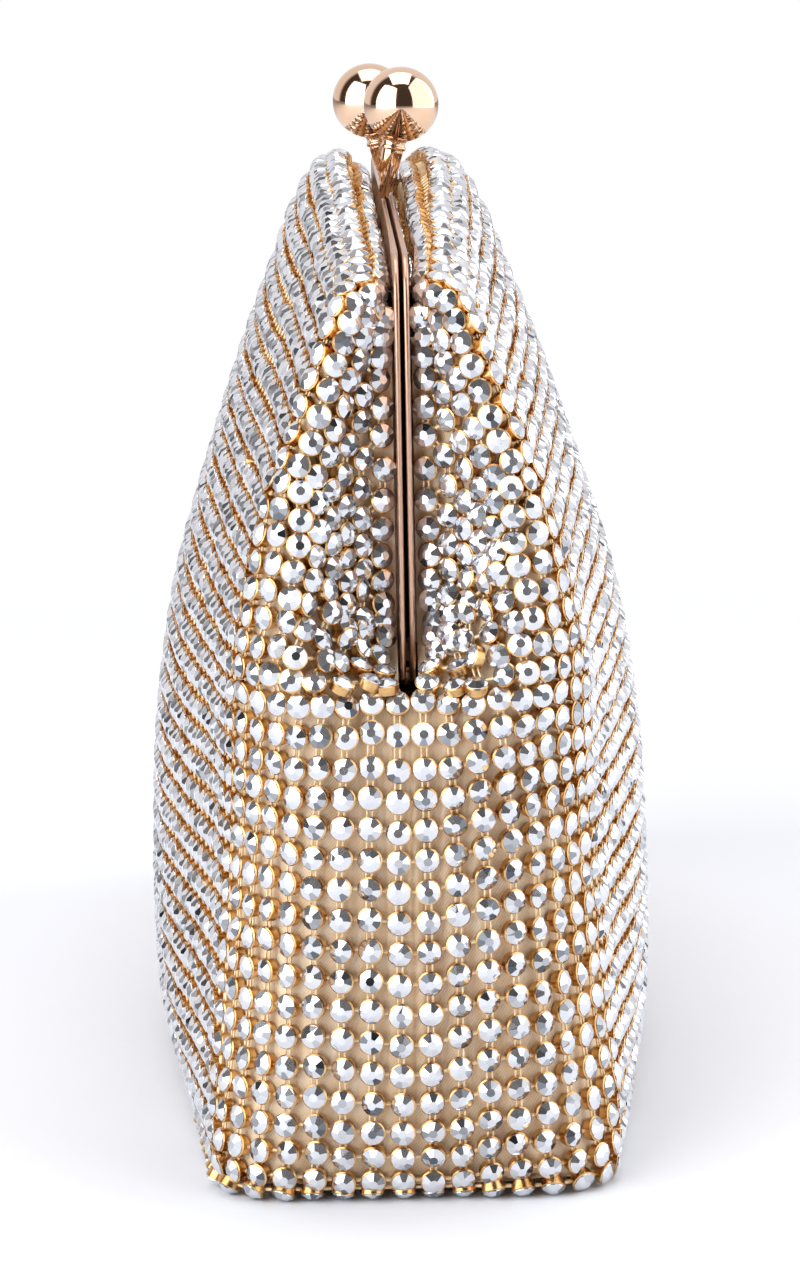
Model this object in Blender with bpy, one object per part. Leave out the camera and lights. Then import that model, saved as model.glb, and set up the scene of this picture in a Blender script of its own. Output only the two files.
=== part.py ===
# Evening clutch bag: a stone-mesh pouch on a hinged two-part frame with a ball clasp.
# Metres, Z up. X runs along the bag, -Y is its front face, and it stands on z = 0.

import math

import bmesh
import bpy
from mathutils import Matrix, Vector

# Bag body
BAG_LENGTH = 0.208
BAG_DEPTH = 0.072
HINGE_HEIGHT = 0.068
END_CROWN = 0.0015
VALLEY_WIDTH = 0.0095
OPEN_ANGLE_DEG = 30.0

# Layers of the wall, from the stones inwards
MESH_THICKNESS = 0.0017
BACKING_THICKNESS = 0.0005
LINING_THICKNESS = 0.0005
BOARD_THICKNESS = 0.0015
POCKET_THICKNESS = 0.0004
SEAT_GAP = 0.0003
FOLD_GAP = 0.0006

# Frame of bent sheet metal
FRAME_SETBACK = 0.0095
FRAME_HEIGHT = 0.124
LOBE_PROUD = 0.007
FRAME_CORNER_RADIUS = 0.008
RAIL_THICKNESS = 0.00075
RAIL_GAP = 0.0005
LIP_WIDTH = 0.0066
LIP_SHOW = 0.002
FLANGE_REACH = 0.0038
FLANGE_THICKNESS = 0.0006
RELIEF_LENGTH = 0.012
SEAM_BEND = 0.0006
RELIEF_DROP = 0.006
SEWING_PITCH = 0.0115
SEWING_RADIUS = 0.0006

# Hinge at the foot of both legs
EAR_RADIUS = 0.0032
EAR_SHOULDER = 0.006
EAR_CLEARANCE = 0.0012
PIN_RADIUS = 0.001
PIN_CLEARANCE = 0.00015
RIVET_HEAD_RADIUS = 0.002
RIVET_HEAD_THICKNESS = 0.0007

# Ball clasp
BALL_RADIUS = 0.0055
BALL_RISE = 0.014
BALL_OFFSET = 0.0022
BALL_PASSING_GAP = 0.0003
STEM_FOOT_RADIUS = 0.00065
STEM_TOP_RADIUS = 0.00145
COLLAR_HEIGHT = 0.0016
COLLAR_WALL = 0.0004

# Faceting
SPHERE_SEGMENTS = 20
SPHERE_RINGS = 12
ROUND_SEGMENTS = 16
HOLE_SEGMENTS = 8
CORNER_SEGMENTS = 6

# Overrun of every cutter past the face that it cuts
OVERRUN = 0.001

# Derived places
HALF_LENGTH = BAG_LENGTH / 2
HALF_DEPTH = BAG_DEPTH / 2
HALF_FRAME = HALF_LENGTH - FRAME_SETBACK
LOBE_RISE = FRAME_HEIGHT + LOBE_PROUD - HINGE_HEIGHT
BALL_HEIGHT = FRAME_HEIGHT + BALL_RISE
PLATE_INNER = RAIL_GAP / 2
PLATE_OUTER = PLATE_INNER + RAIL_THICKNESS
LEG_EDGE = PLATE_OUTER + SEAT_GAP
MESH_LEG = HALF_FRAME - LIP_SHOW
FLANGE_INSET = LIP_WIDTH - FLANGE_THICKNESS
RIM_HEIGHT = FRAME_HEIGHT - FLANGE_INSET + SEAT_GAP
SEAM_HEIGHT = FRAME_HEIGHT - FLANGE_INSET
OPEN_SLOPE = math.tan(math.radians(OPEN_ANGLE_DEG))
BACKING_INSET = MESH_THICKNESS + SEAT_GAP
LINING_INSET = BACKING_INSET + BACKING_THICKNESS + SEAT_GAP
POCKET_INSET = LINING_INSET + LINING_THICKNESS + SEAT_GAP
FLANGE_TIP = PLATE_OUTER + FLANGE_REACH
LINING_RIM = FLANGE_TIP + SEAT_GAP + LINING_THICKNESS
BACKING_RIM = LINING_RIM + SEAT_GAP + BACKING_THICKNESS
BOARD_FLOOR = BACKING_INSET + BACKING_THICKNESS + SEAT_GAP
LINING_FLOOR = BOARD_FLOOR + BOARD_THICKNESS + SEAT_GAP
BALL_SPREAD = BALL_RADIUS + BALL_PASSING_GAP / 2

# The wall's outer face, one station a line, from the base edge up the side, over the lobe
# and down beside the frame. A height of 1 is the hinge and 2 the top of the lobe.
# Depths are shares of half the depth, lengths of half the length, corner depths of the
# end's depth. A valley of 1 reaches in to the frame's leg, and a wrap of 1 spreads the
# columns of the end evenly round the frame's corner.
# girth, height mid, height end, height leg, depth mid, depth end, length, corner depth,
# corner length, valley, wrap
STATION_SHARES = (
    (0.000, 0.000, 0.000, 0.000, 0.820, 0.720, 0.976, 0.31, 0.100, 0.00, 0.0),
    (0.041, 0.075, 0.075, 0.075, 0.905, 0.745, 0.990, 0.40, 0.125, 0.00, 0.0),
    (0.082, 0.155, 0.155, 0.155, 0.955, 0.750, 0.997, 0.50, 0.165, 0.00, 0.0),
    (0.170, 0.340, 0.340, 0.340, 0.995, 0.740, 1.000, 0.60, 0.235, 0.00, 0.0),
    (0.300, 0.620, 0.620, 0.620, 1.000, 0.725, 1.000, 0.64, 0.265, 0.00, 0.0),
    (0.410, 0.855, 0.855, 0.855, 0.960, 0.705, 1.000, 0.60, 0.230, 0.02, 0.0),
    (0.475, 1.000, 1.000, 1.000, 0.910, 0.680, 1.000, 0.54, 0.180, 0.26, 0.0),
    (0.550, 1.175, 1.160, 1.065, 0.825, 0.630, 0.994, 0.48, 0.135, 0.80, 0.0),
    (0.640, 1.373, 1.350, 1.175, 0.715, 0.550, 0.985, 0.46, 0.100, 0.97, 0.0),
    (0.730, 1.570, 1.525, 1.350, 0.600, 0.450, 0.975, 0.46, 0.077, 1.00, 0.0),
    (0.810, 1.760, 1.675, 1.540, 0.475, 0.345, 0.960, 0.48, 0.060, 1.00, 0.0),
    (0.870, 1.900, 1.780, 1.660, 0.360, 0.270, 0.940, 0.50, 0.050, 1.00, 0.0),
    (0.915, 1.985, 1.835, 1.725, 0.240, 0.205, 0.920, 0.50, 0.045, 1.00, 0.2),
    (0.940, 2.000, 1.848, 1.750, 0.160, 0.140, 0.908, 0.50, 0.045, 1.00, 0.4),
    (0.960, 1.965, 1.843, 1.763, 0.085, 0.080, 0.898, 0.50, 0.055, 1.00, 0.7),
    (0.980, 1.880, 1.825, 1.772, 0.037, 0.037, 0.888, 0.50, 0.070, 1.00, 1.0),
)
RIM_LEG_SHARE = 0.972
RIM_LENGTH_SHARE = 0.965
RIM_CORNER_SHARE = 0.13
HINGE_GIRTH_SHARE = 0.475
RIM_GIRTH_SHARE = 1.0

# The rows of stones stand out of the net: one rib of the solid for each pair of rows
STONE_ROWS = 36
RIB_DEPTH = 0.0007
RIB_SLOPE_SHARE = 0.25
RIB_PHASE_SHARE = 0.25
WALL_GIRTH = 0.147

# Columns of a quarter of the wall: 0 to 1 along the end, 1 to 2 round the corner,
# 2 to 3 along the face to mid-length
COLUMN_SHARES = (0, 0.5, 1, 1.3, 1.6, 2, 2.08, 2.25, 2.5, 2.75, 3)
LOBE_ROW_SHARES = (0.0, 0.14, 0.31, 0.48, 0.64, 0.75, 0.84, 0.9, 1.0)
INNER_ROW_SHARES = (0.0, 0.14, 0.31, 0.48)
BASE_ROW_SHARES = (0.0, 0.041, 0.082)
SIDE_ROW_SHARES = (0.33, 0.67, 1.0)
UPPER_RIB_SHARES = (0.25, 0.5, 0.75, 1.0)
LOBE_CROWN_SHARES = (0.9, 1.0)
POCKET_TURN_SHARE = 2.5


def remove_all_objects():
    for item in list(bpy.data.objects):
        bpy.data.objects.remove(item, do_unlink=True)


def metal(name, colour, roughness):
    return surface(name, colour, roughness, 1.0)


def surface(name, colour, roughness, metallic):
    material = bpy.data.materials.new(name)
    material.use_nodes = True
    shader = material.node_tree.nodes["Principled BSDF"]
    shader.inputs["Base Color"].default_value = (*colour, 1.0)
    shader.inputs["Roughness"].default_value = roughness
    shader.inputs["Metallic"].default_value = metallic
    return material


def rose_gold():
    return metal("rose gold plated brass", (0.83, 0.55, 0.42), 0.12)


def stone_mesh():
    return metal("foiled stones in gold cups", (0.74, 0.70, 0.64), 0.2)


def satin():
    return surface("champagne satin", (0.68, 0.53, 0.38), 0.5, 0.0)


def lining_cloth():
    return surface("champagne lining cloth", (0.62, 0.49, 0.36), 0.6, 0.0)


def greyboard():
    return surface("base board", (0.45, 0.42, 0.38), 0.9, 0.0)


def rivet_metal():
    return metal("rose gold rivet", (0.80, 0.53, 0.41), 0.2)


def station_height(share):
    """Height of a share: up to 1 below the hinge, from 1 to 2 up to the top of the lobe."""
    return HINGE_HEIGHT * min(share, 1.0) + LOBE_RISE * max(share - 1.0, 0.0)


def wall_stations():
    """The stations in real sizes, closed by the rim that stands on the frame's flange."""
    rows = []
    for girth, mid, end, leg, deep, end_deep, length, corner, bend, valley, wrap in STATION_SHARES:
        rows.append((
            girth,
            station_height(mid),
            station_height(end),
            station_height(leg),
            HALF_DEPTH * deep,
            HALF_DEPTH * end_deep,
            HALF_LENGTH * length,
            HALF_DEPTH * end_deep * corner,
            HALF_LENGTH * bend,
            valley,
            wrap,
        ))
    leg = HINGE_HEIGHT + (RIM_HEIGHT - HINGE_HEIGHT) * RIM_LEG_SHARE
    rim = (RIM_GIRTH_SHARE, RIM_HEIGHT, RIM_HEIGHT, leg, LEG_EDGE, LEG_EDGE)
    corner = (LEG_EDGE / 2, HALF_LENGTH * RIM_CORNER_SHARE)
    rows.append((*rim, MESH_LEG * RIM_LENGTH_SHARE, *corner, 1.0, 1.0))
    return rows


def slopes_without_overshoot(at, values):
    """End slopes for a cubic through each pair of stations, flat at every turning point."""
    steps = [(values[i + 1] - values[i]) / (at[i + 1] - at[i]) for i in range(len(at) - 1)]
    slopes = [steps[0]]
    for before, after in zip(steps, steps[1:]):
        if before * after <= 0:
            slopes.append(0.0)
        else:
            slopes.append(2 * before * after / (before + after))
    slopes.append(steps[-1])
    return slopes


def station_curves():
    columns = list(zip(*wall_stations()))
    at = columns[0]
    return at, [(values, slopes_without_overshoot(at, values)) for values in columns[1:]]


STATION_GIRTHS, STATION_CURVES = station_curves()


def read_stations(girth):
    """Every station value at one girth, read smoothly between the stations."""
    last = len(STATION_GIRTHS) - 2
    index = 0
    while index < last and girth > STATION_GIRTHS[index + 1]:
        index += 1
    span = STATION_GIRTHS[index + 1] - STATION_GIRTHS[index]
    t = (girth - STATION_GIRTHS[index]) / span
    start_weight = 2 * t ** 3 - 3 * t ** 2 + 1
    start_slope = (t ** 3 - 2 * t ** 2 + t) * span
    end_weight = 3 * t ** 2 - 2 * t ** 3
    end_slope = (t ** 3 - t ** 2) * span
    read = []
    for values, slopes in STATION_CURVES:
        read.append(start_weight * values[index] + start_slope * slopes[index]
                    + end_weight * values[index + 1] + end_slope * slopes[index + 1])
    return read


def face_bulge(along):
    """Share of the bulge at a distance from mid-length: 1 there and 0 at the corner."""
    return 0.7 * (1 - along ** 2) + 0.15 * (1 + math.cos(math.pi * along))


def wall_point(girth, turn, edge):
    """A point of the wall's outer face in the quarter where X and Y are positive.

    The turn is a column share. The edge is the wall's least distance from the middle plane.
    """
    mid, end, leg, deep, end_deep, length, corner, corner_length, valley, wrap = read_stations(girth)
    straight = min(turn, 1.0)
    bend = min(max(turn - 1.0, 0.0), 1.0) * math.pi / 2
    run = max(turn - 2.0, 0.0)
    face_length = length - corner_length
    if turn <= 2.0:
        spread = (turn / 2) ** 1.3
        x = length - corner_length * (wrap * spread + (1 - wrap) * (1 - math.cos(bend)))
        y = straight * (end_deep - corner) + corner * math.sin(bend)
    else:
        x = face_length * (1 - run)
        y = end_deep + (deep - end_deep) * face_bulge(1 - run)
    near_end = (x / length) ** 12
    width = min(VALLEY_WIDTH, 0.6 * end_deep)
    in_valley = math.exp(-(y / width) ** 2) * near_end
    z = end + (mid - end) * (1 - (x / length) ** 3) - (end - leg) * in_valley
    crown = END_CROWN * (1 - valley) * min(y / end_deep, 1.0) ** 2 * near_end
    x -= valley * max(length - MESH_LEG, 0.0) * in_valley + crown
    y += edge * max(1 - y / end_deep, 0.0)
    return Vector((x, y, z))


def wall_normal(girth, turn, edge):
    """Outward direction of the wall at a point of that quarter."""
    step = 0.004
    low, high = max(girth - step, 0.0), min(girth + step, RIM_GIRTH_SHARE)
    near, far = max(turn - step, 0.0), min(turn + step, 3.0)
    up = wall_point(high, turn, edge) - wall_point(low, turn, edge)
    along = wall_point(girth, far, edge) - wall_point(girth, near, edge)
    normal = along.cross(up)
    if turn == 0:
        normal.y = min(normal.y, 0.0) if edge > 0 else 0.0
    if turn == 3:
        normal.x = 0.0
    return normal.normalized()


def inset_point(girth, turn, edge, inset):
    return wall_point(girth, turn, edge) - wall_normal(girth, turn, edge) * inset


def floor_point(turn, inset, floor):
    """The same place on the foot of a layer, drawn in level and set at its floor."""
    outward = wall_normal(0.0, turn, 0.0)
    outward.z = 0.0
    point = wall_point(0.0, turn, 0.0) - outward.normalized() * inset
    point.z = floor
    return point


def mirrored(point, side_x, side_y):
    return Vector((point.x * side_x, point.y * side_y, point.z))


def ring_columns():
    """Columns right round the bag, each with the quarter that it lies in."""
    columns = []
    for side_x, side_y in ((1, -1), (-1, -1), (-1, 1), (1, 1)):
        turns = COLUMN_SHARES[:-1]
        if side_x * side_y > 0:
            turns = COLUMN_SHARES[:0:-1]
        columns.extend((side_x, side_y, turn) for turn in turns)
    return columns


def half_columns(side_y, first_turn):
    """Columns of one half, from one end over the face to the other end."""
    turns = [turn for turn in COLUMN_SHARES if turn >= first_turn]
    right = [(1, side_y, turn) for turn in turns]
    left = [(-1, side_y, turn) for turn in reversed(turns[:-1])]
    return right + left


def fold_girth(turn, drop):
    """Girth where the wall meets the plane that the half's lower edge reaches when open."""
    low, high = 0.0, HINGE_GIRTH_SHARE
    for _ in range(40):
        girth = (low + high) / 2
        point = wall_point(girth, turn, 0.0)
        if point.z + point.y * OPEN_SLOPE < HINGE_HEIGHT - drop:
            low = girth
        else:
            high = girth
    return low


def end_share(corner):
    """Grows from mid-length round to the middle of the end."""
    return abs(corner.co.x) - abs(corner.co.y)


def add_panel(mesh, corners, flip):
    """Two triangles on the same diagonal in every layer, so that the layers stay parallel."""
    first, second, third, fourth = corners
    for face in ((first, second, third), (first, third, fourth)):
        mesh.faces.new(face[::-1] if flip else face)


def add_side(mesh, outer, inner, shares, flip):
    """Closes one side of a sheet whose two faces may have unlike rows, given as shares."""
    outer_shares, inner_shares = shares
    i, j = 0, 0
    while i < len(outer) - 1 or j < len(inner) - 1:
        on_outer = j == len(inner) - 1
        if not on_outer and i < len(outer) - 1:
            on_outer = outer_shares[i + 1] <= inner_shares[j + 1]
        if on_outer:
            face = (outer[i], outer[i + 1], inner[j])
            i += 1
        else:
            face = (outer[i], inner[j + 1], inner[j])
            j += 1
        mesh.faces.new(face[::-1] if flip else face)


def loft(rows, closed_round, thickness_rows, floor_caps=False, side_shares=None):
    """A closed sheet between an outer and an inner grid of points."""
    mesh = bmesh.new()
    outer = [[mesh.verts.new(point) for point in row] for row in rows]
    inner = [[mesh.verts.new(point) for point in row] for row in thickness_rows]
    count = len(rows[0])
    spans = count if closed_round else count - 1
    for grid, flip in ((outer, False), (inner, True)):
        for lower, upper in zip(grid, grid[1:]):
            for i in range(spans):
                j = (i + 1) % count
                if end_share(lower[i]) < end_share(lower[j]):
                    add_panel(mesh, (lower[i], lower[j], upper[j], upper[i]), flip)
                else:
                    add_panel(mesh, (lower[j], upper[j], upper[i], lower[i]), flip)
    for i in range(spans):
        j = (i + 1) % count
        add_panel(mesh, (outer[-1][i], outer[-1][j], inner[-1][j], inner[-1][i]), False)
        if not floor_caps:
            add_panel(mesh, (outer[0][j], outer[0][i], inner[0][i], inner[0][j]), False)
    if floor_caps:
        mesh.faces.new(outer[0][::-1])
        mesh.faces.new(inner[0])
    if not closed_round:
        shares = side_shares or (range(len(outer)), range(len(inner)))
        for i in (0, -1):
            add_side(mesh, [row[i] for row in outer], [row[i] for row in inner], shares, i != 0)
    bmesh.ops.recalc_face_normals(mesh, faces=mesh.faces)
    return mesh


def rib_lines(low, high):
    """Crests and grooves of the ribs between two girths, as (girth, depth of the groove)."""
    lines = []
    for row in range(STONE_ROWS):
        girth = (row + RIB_PHASE_SHARE) / STONE_ROWS
        if low < girth < high:
            lines.append((girth, 0.0 if row % 2 else RIB_DEPTH))
    return lines


def pouch_rows(inset, floor):
    """Rings of one face of a pouch layer, from its floor up to the edge of the fold."""
    columns = ring_columns()
    rims = {turn: fold_girth(turn, FOLD_GAP) for turn in COLUMN_SHARES}
    rows = [[mirrored(floor_point(turn, inset, floor), sx, sy) for sx, sy, turn in columns]]
    base_top = BASE_ROW_SHARES[-1]
    for share in BASE_ROW_SHARES[1:]:
        rows.append([mirrored(inset_point(share, turn, 0.0, inset), sx, sy)
                     for sx, sy, turn in columns])
    for share in SIDE_ROW_SHARES:
        rows.append([
            mirrored(inset_point(base_top + (rims[turn] - base_top) * share, turn, 0.0, inset), sx, sy)
            for sx, sy, turn in columns
        ])
    return rows


def pouch_layer(inset, thickness, floor):
    outer = pouch_rows(inset, floor)
    inner = pouch_rows(inset + thickness, floor + thickness)
    return loft(outer, True, inner, floor_caps=True)


def ribbed_pouch_rows():
    """Rings of the net's outer face, with its ribs, from the floor up to the edge of the fold."""
    columns = ring_columns()
    rims = {turn: fold_girth(turn, FOLD_GAP) for turn in COLUMN_SHARES}
    rows = [[mirrored(floor_point(turn, 0.0, 0.0), sx, sy) for sx, sy, turn in columns]]
    lines = rib_lines(0.0, min(rims.values()))[1:-1]
    for girth, depth in lines:
        rows.append([mirrored(inset_point(girth, turn, 0.0, depth), sx, sy)
                     for sx, sy, turn in columns])
    last = lines[-1][0]
    for i, share in enumerate(UPPER_RIB_SHARES):
        row = []
        for sx, sy, turn in columns:
            girth = last + (rims[turn] - last) * share
            reach = (rims[turn] - last) * UPPER_RIB_SHARES[0] * WALL_GIRTH
            depth = min(RIB_DEPTH, reach * RIB_SLOPE_SHARE) if i == 1 else 0.0
            row.append(mirrored(inset_point(girth, turn, 0.0, depth), sx, sy))
        rows.append(row)
    return rows


def ribbed_pouch():
    inner = pouch_rows(MESH_THICKNESS, MESH_THICKNESS)
    return loft(ribbed_pouch_rows(), True, inner, floor_caps=True)


def fold_layer(side_y):
    """The wall between the pouch and one half of the top, which creases when it opens."""
    first_turn = COLUMN_SHARES[1]
    thickness = LINING_INSET + LINING_THICKNESS
    grids = []
    for inset in (0.0, thickness):
        rows = []
        for share in (0.0, 0.5, 1.0):
            row = []
            for sx, sy, turn in half_columns(side_y, first_turn):
                low = fold_girth(turn, 0.0)
                girth = low + (HINGE_GIRTH_SHARE - low) * share
                point = inset_point(girth, turn, 0.0, inset)
                if share == 1.0:
                    point.z = HINGE_HEIGHT
                row.append(mirrored(point, sx, sy))
            rows.append(row)
        grids.append(rows)
    return loft(grids[0], False, grids[1])


def lobe_row(side_y, share, inset):
    """One line round a layer of the upper half, from one leg of the frame to the other."""
    girth = HINGE_GIRTH_SHARE + (RIM_GIRTH_SHARE - HINGE_GIRTH_SHARE) * share
    row = []
    for sx, sy, turn in half_columns(side_y, 0):
        point = inset_point(girth, turn, LEG_EDGE, inset)
        if share == 0.0:
            point.z = HINGE_HEIGHT + SEAT_GAP
        row.append(mirrored(point, sx, sy))
    return row


def ribbed_lobe(side_y):
    """The net of the upper half with its ribs, from the hinge over the lobe to the flange."""
    lobe = RIM_GIRTH_SHARE - HINGE_GIRTH_SHARE
    crown = HINGE_GIRTH_SHARE + lobe * LOBE_CROWN_SHARES[0]
    lines = [(0.0, 0.0)]
    for girth, depth in rib_lines(HINGE_GIRTH_SHARE + 2 / STONE_ROWS, crown):
        lines.append(((girth - HINGE_GIRTH_SHARE) / lobe, depth))
    lines.extend((share, 0.0) for share in LOBE_CROWN_SHARES)
    outer = [lobe_row(side_y, share, depth) for share, depth in lines]
    inner = [lobe_row(side_y, share, MESH_THICKNESS) for share in LOBE_ROW_SHARES]
    shares = ([share for share, depth in lines], LOBE_ROW_SHARES)
    return loft(outer, False, inner, side_shares=shares)


def flange_point(turn, leg_inset, edge_depth):
    """A point of the line where an inner layer is sewn to the frame, beside the flange."""
    leg = MESH_LEG - leg_inset
    bend = min(max(turn - 1.0, 0.0), 1.0) * math.pi / 2
    corner = leg - SEAM_BEND * (1 - math.cos(bend))
    straight = edge_depth - SEAM_BEND
    y = LEG_EDGE + min(turn, 1.0) * (straight - LEG_EDGE) + SEAM_BEND * math.sin(bend)
    if turn <= 2.0:
        return Vector((corner, y, SEAM_HEIGHT - RELIEF_DROP))
    run = turn - 2.0
    rise = min(run / (COLUMN_SHARES[COLUMN_SHARES.index(2) + 1] - 2.0), 1.0)
    return Vector((corner * (1 - run), edge_depth, SEAM_HEIGHT - RELIEF_DROP * (1 - rise)))


def inner_lobe_layer(side_y, inset, thickness, edge_depth):
    """A cloth layer of the upper half, from the hinge up to the frame's flange."""
    grids = []
    for depth, edge in ((inset, edge_depth), (inset + thickness, edge_depth - thickness)):
        rows = [lobe_row(side_y, share, depth) for share in INNER_ROW_SHARES]
        rims = [mirrored(flange_point(turn, depth, edge), sx, sy)
                for sx, sy, turn in half_columns(side_y, 0)]
        last = rows[-1]
        rows.append([start.lerp(rim, 0.5) for start, rim in zip(last, rims)])
        rows.append(rims)
        grids.append(rows)
    return loft(grids[0], False, grids[1])


def board_layer():
    """The stiff board on the bag's floor, between backing and lining."""
    inset = LINING_INSET + LINING_THICKNESS
    columns = ring_columns()
    rows = []
    for floor in (BOARD_FLOOR, BOARD_FLOOR + BOARD_THICKNESS):
        rows.append([mirrored(floor_point(turn, inset, floor), sx, sy) for sx, sy, turn in columns])
    mesh = bmesh.new()
    lower, upper = [[mesh.verts.new(point) for point in row] for row in rows]
    for i in range(len(columns)):
        j = (i + 1) % len(columns)
        mesh.faces.new([lower[i], lower[j], upper[j], upper[i]])
    mesh.faces.new(lower[::-1])
    mesh.faces.new(upper)
    bmesh.ops.recalc_face_normals(mesh, faces=mesh.faces)
    return mesh


def pocket_layer():
    """A flat pocket sewn to the rear lining, following its curve."""
    turns = [turn for turn in COLUMN_SHARES if turn >= POCKET_TURN_SHARE]
    columns = [(1, turn) for turn in turns] + [(-1, turn) for turn in reversed(turns[:-1])]
    base_top = BASE_ROW_SHARES[-1]
    grids = []
    for inset in (POCKET_INSET, POCKET_INSET + POCKET_THICKNESS):
        rows = []
        for share in (0.0, *SIDE_ROW_SHARES[:-1]):
            row = []
            for side_x, turn in columns:
                girth = base_top + (fold_girth(turn, FOLD_GAP) - base_top) * share
                row.append(mirrored(inset_point(girth, turn, 0.0, inset), side_x, 1))
            rows.append(row)
        grids.append(rows)
    return loft(grids[0], False, grids[1])


def frame_path():
    """The rail's outer outline from the right foot to the left, with inward directions."""
    foot = HINGE_HEIGHT + SEAT_GAP
    shoulder = FRAME_HEIGHT - FRAME_CORNER_RADIUS
    centre_x = HALF_FRAME - FRAME_CORNER_RADIUS
    path = [(HALF_FRAME, foot, -1.0, 0.0)]
    for i in range(CORNER_SEGMENTS + 1):
        angle = math.pi / 2 * i / CORNER_SEGMENTS
        path.append((
            centre_x + FRAME_CORNER_RADIUS * math.cos(angle),
            shoulder + FRAME_CORNER_RADIUS * math.sin(angle),
            -math.cos(angle),
            -math.sin(angle),
        ))
    return path + [(-x, z, -inward_x, inward_z) for x, z, inward_x, inward_z in reversed(path)]


def rail_section(side_y):
    """L section of a rail: the thin lip that shows and the flange that carries the cloth."""
    reach = PLATE_OUTER + FLANGE_REACH
    return [
        (0.0, side_y * PLATE_INNER),
        (LIP_WIDTH, side_y * PLATE_INNER),
        (LIP_WIDTH, side_y * reach),
        (FLANGE_INSET, side_y * reach),
        (FLANGE_INSET, side_y * PLATE_OUTER),
        (0.0, side_y * PLATE_OUTER),
    ]


def rail_sweep(side_y):
    mesh = bmesh.new()
    rings = []
    for x, z, inward_x, inward_z in frame_path():
        rings.append([mesh.verts.new((x + inward_x * depth, y, z + inward_z * depth))
                      for depth, y in rail_section(side_y)])
    for first, second in zip(rings, rings[1:]):
        for i in range(len(first)):
            j = (i + 1) % len(first)
            mesh.faces.new([first[i], first[j], second[j], second[i]])
    mesh.faces.new(rings[0][::-1])
    mesh.faces.new(rings[-1])
    bmesh.ops.recalc_face_normals(mesh, faces=mesh.faces)
    return mesh


def add_box(mesh, low, high):
    size = [high[i] - low[i] for i in range(3)]
    centre = [(high[i] + low[i]) / 2 for i in range(3)]
    place = Matrix.Translation(centre) @ Matrix.Diagonal((*size, 1.0))
    bmesh.ops.create_cube(mesh, size=1.0, matrix=place)


def add_cylinder(mesh, centre, axis, radius, length, segments):
    turn = Vector((0, 0, 1)).rotation_difference(Vector(axis)).to_matrix().to_4x4()
    place = Matrix.Translation(centre) @ turn
    bmesh.ops.create_cone(mesh, cap_ends=True, segments=segments, radius1=radius,
                          radius2=radius, depth=length, matrix=place)


def ear_span(side_y):
    """The front ears lie in the flange's plane and the rear ears just inside them."""
    outer = HALF_FRAME - FLANGE_INSET
    inner = HALF_FRAME - LIP_WIDTH
    if side_y < 0:
        return inner, outer
    return inner - FLANGE_THICKNESS - SEAT_GAP, outer - FLANGE_THICKNESS - SEAT_GAP


def ear_solid(side_x, side_y):
    """A rounded ear round the pin, drawn up to a shoulder on its own rail's flange."""
    inner, outer = ear_span(side_y)
    shoulder_low = side_y * (PLATE_OUTER + SEAT_GAP)
    shoulder_high = side_y * (PLATE_OUTER + FLANGE_REACH - SEAT_GAP)
    mesh = bmesh.new()
    for x in (inner, outer):
        for i in range(ROUND_SEGMENTS):
            angle = 2 * math.pi * i / ROUND_SEGMENTS
            mesh.verts.new((side_x * x, EAR_RADIUS * math.cos(angle),
                            HINGE_HEIGHT + EAR_RADIUS * math.sin(angle)))
        for y in (shoulder_low, shoulder_high):
            mesh.verts.new((side_x * x, y, HINGE_HEIGHT + EAR_SHOULDER))
    result = bmesh.ops.convex_hull(mesh, input=mesh.verts)
    loose = [item for item in result["geom_interior"] if isinstance(item, bmesh.types.BMVert)]
    bmesh.ops.delete(mesh, geom=loose, context="VERTS")
    bmesh.ops.dissolve_limit(mesh, angle_limit=math.radians(1), verts=mesh.verts, edges=mesh.edges)
    bmesh.ops.recalc_face_normals(mesh, faces=mesh.faces)
    return mesh


def shoulder_block(side_x, side_y):
    """The joggle between the ear's plane and the flange above it."""
    mesh = bmesh.new()
    inner = ear_span(side_y)[0] + SEAT_GAP / 3
    outer = HALF_FRAME - FLANGE_INSET - SEAT_GAP / 3
    ys = sorted((side_y * (PLATE_OUTER + 2 * SEAT_GAP),
                 side_y * (PLATE_OUTER + FLANGE_REACH - 2 * SEAT_GAP)))
    xs = sorted((side_x * inner, side_x * outer))
    add_box(mesh, (xs[0], ys[0], HINGE_HEIGHT + EAR_RADIUS + EAR_CLEARANCE + SEAT_GAP),
            (xs[1], ys[1], HINGE_HEIGHT + EAR_SHOULDER + SEAT_GAP))
    return mesh


def foot_notches(side_y):
    """Room for both ears, cut from the foot of each leg."""
    mesh = bmesh.new()
    ys = sorted((side_y * (PLATE_INNER - OVERRUN), side_y * (PLATE_OUTER + FLANGE_REACH + OVERRUN)))
    inner = HALF_FRAME - LIP_WIDTH - OVERRUN
    outer = HALF_FRAME - FLANGE_INSET + RIVET_HEAD_THICKNESS + 2 * SEAT_GAP
    for side_x in (-1, 1):
        xs = sorted((side_x * inner, side_x * outer))
        add_box(mesh, (xs[0], ys[0], HINGE_HEIGHT - OVERRUN),
                (xs[1], ys[1], HINGE_HEIGHT + EAR_RADIUS + EAR_CLEARANCE))
    return mesh


def corner_reliefs(side_y):
    """The flange is cut away round both corners, where it couldn't be bent."""
    mesh = bmesh.new()
    ys = sorted((side_y * (PLATE_OUTER + SEAT_GAP / 3), side_y * (FLANGE_TIP + OVERRUN)))
    inner = HALF_FRAME - LIP_WIDTH - RELIEF_LENGTH
    outer = HALF_FRAME - FLANGE_INSET + OVERRUN
    low = FRAME_HEIGHT - FLANGE_INSET - RELIEF_DROP
    for side_x in (-1, 1):
        xs = sorted((side_x * inner, side_x * outer))
        add_box(mesh, (xs[0], ys[0], low), (xs[1], ys[1], FRAME_HEIGHT - FLANGE_INSET + OVERRUN))
    return mesh


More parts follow.
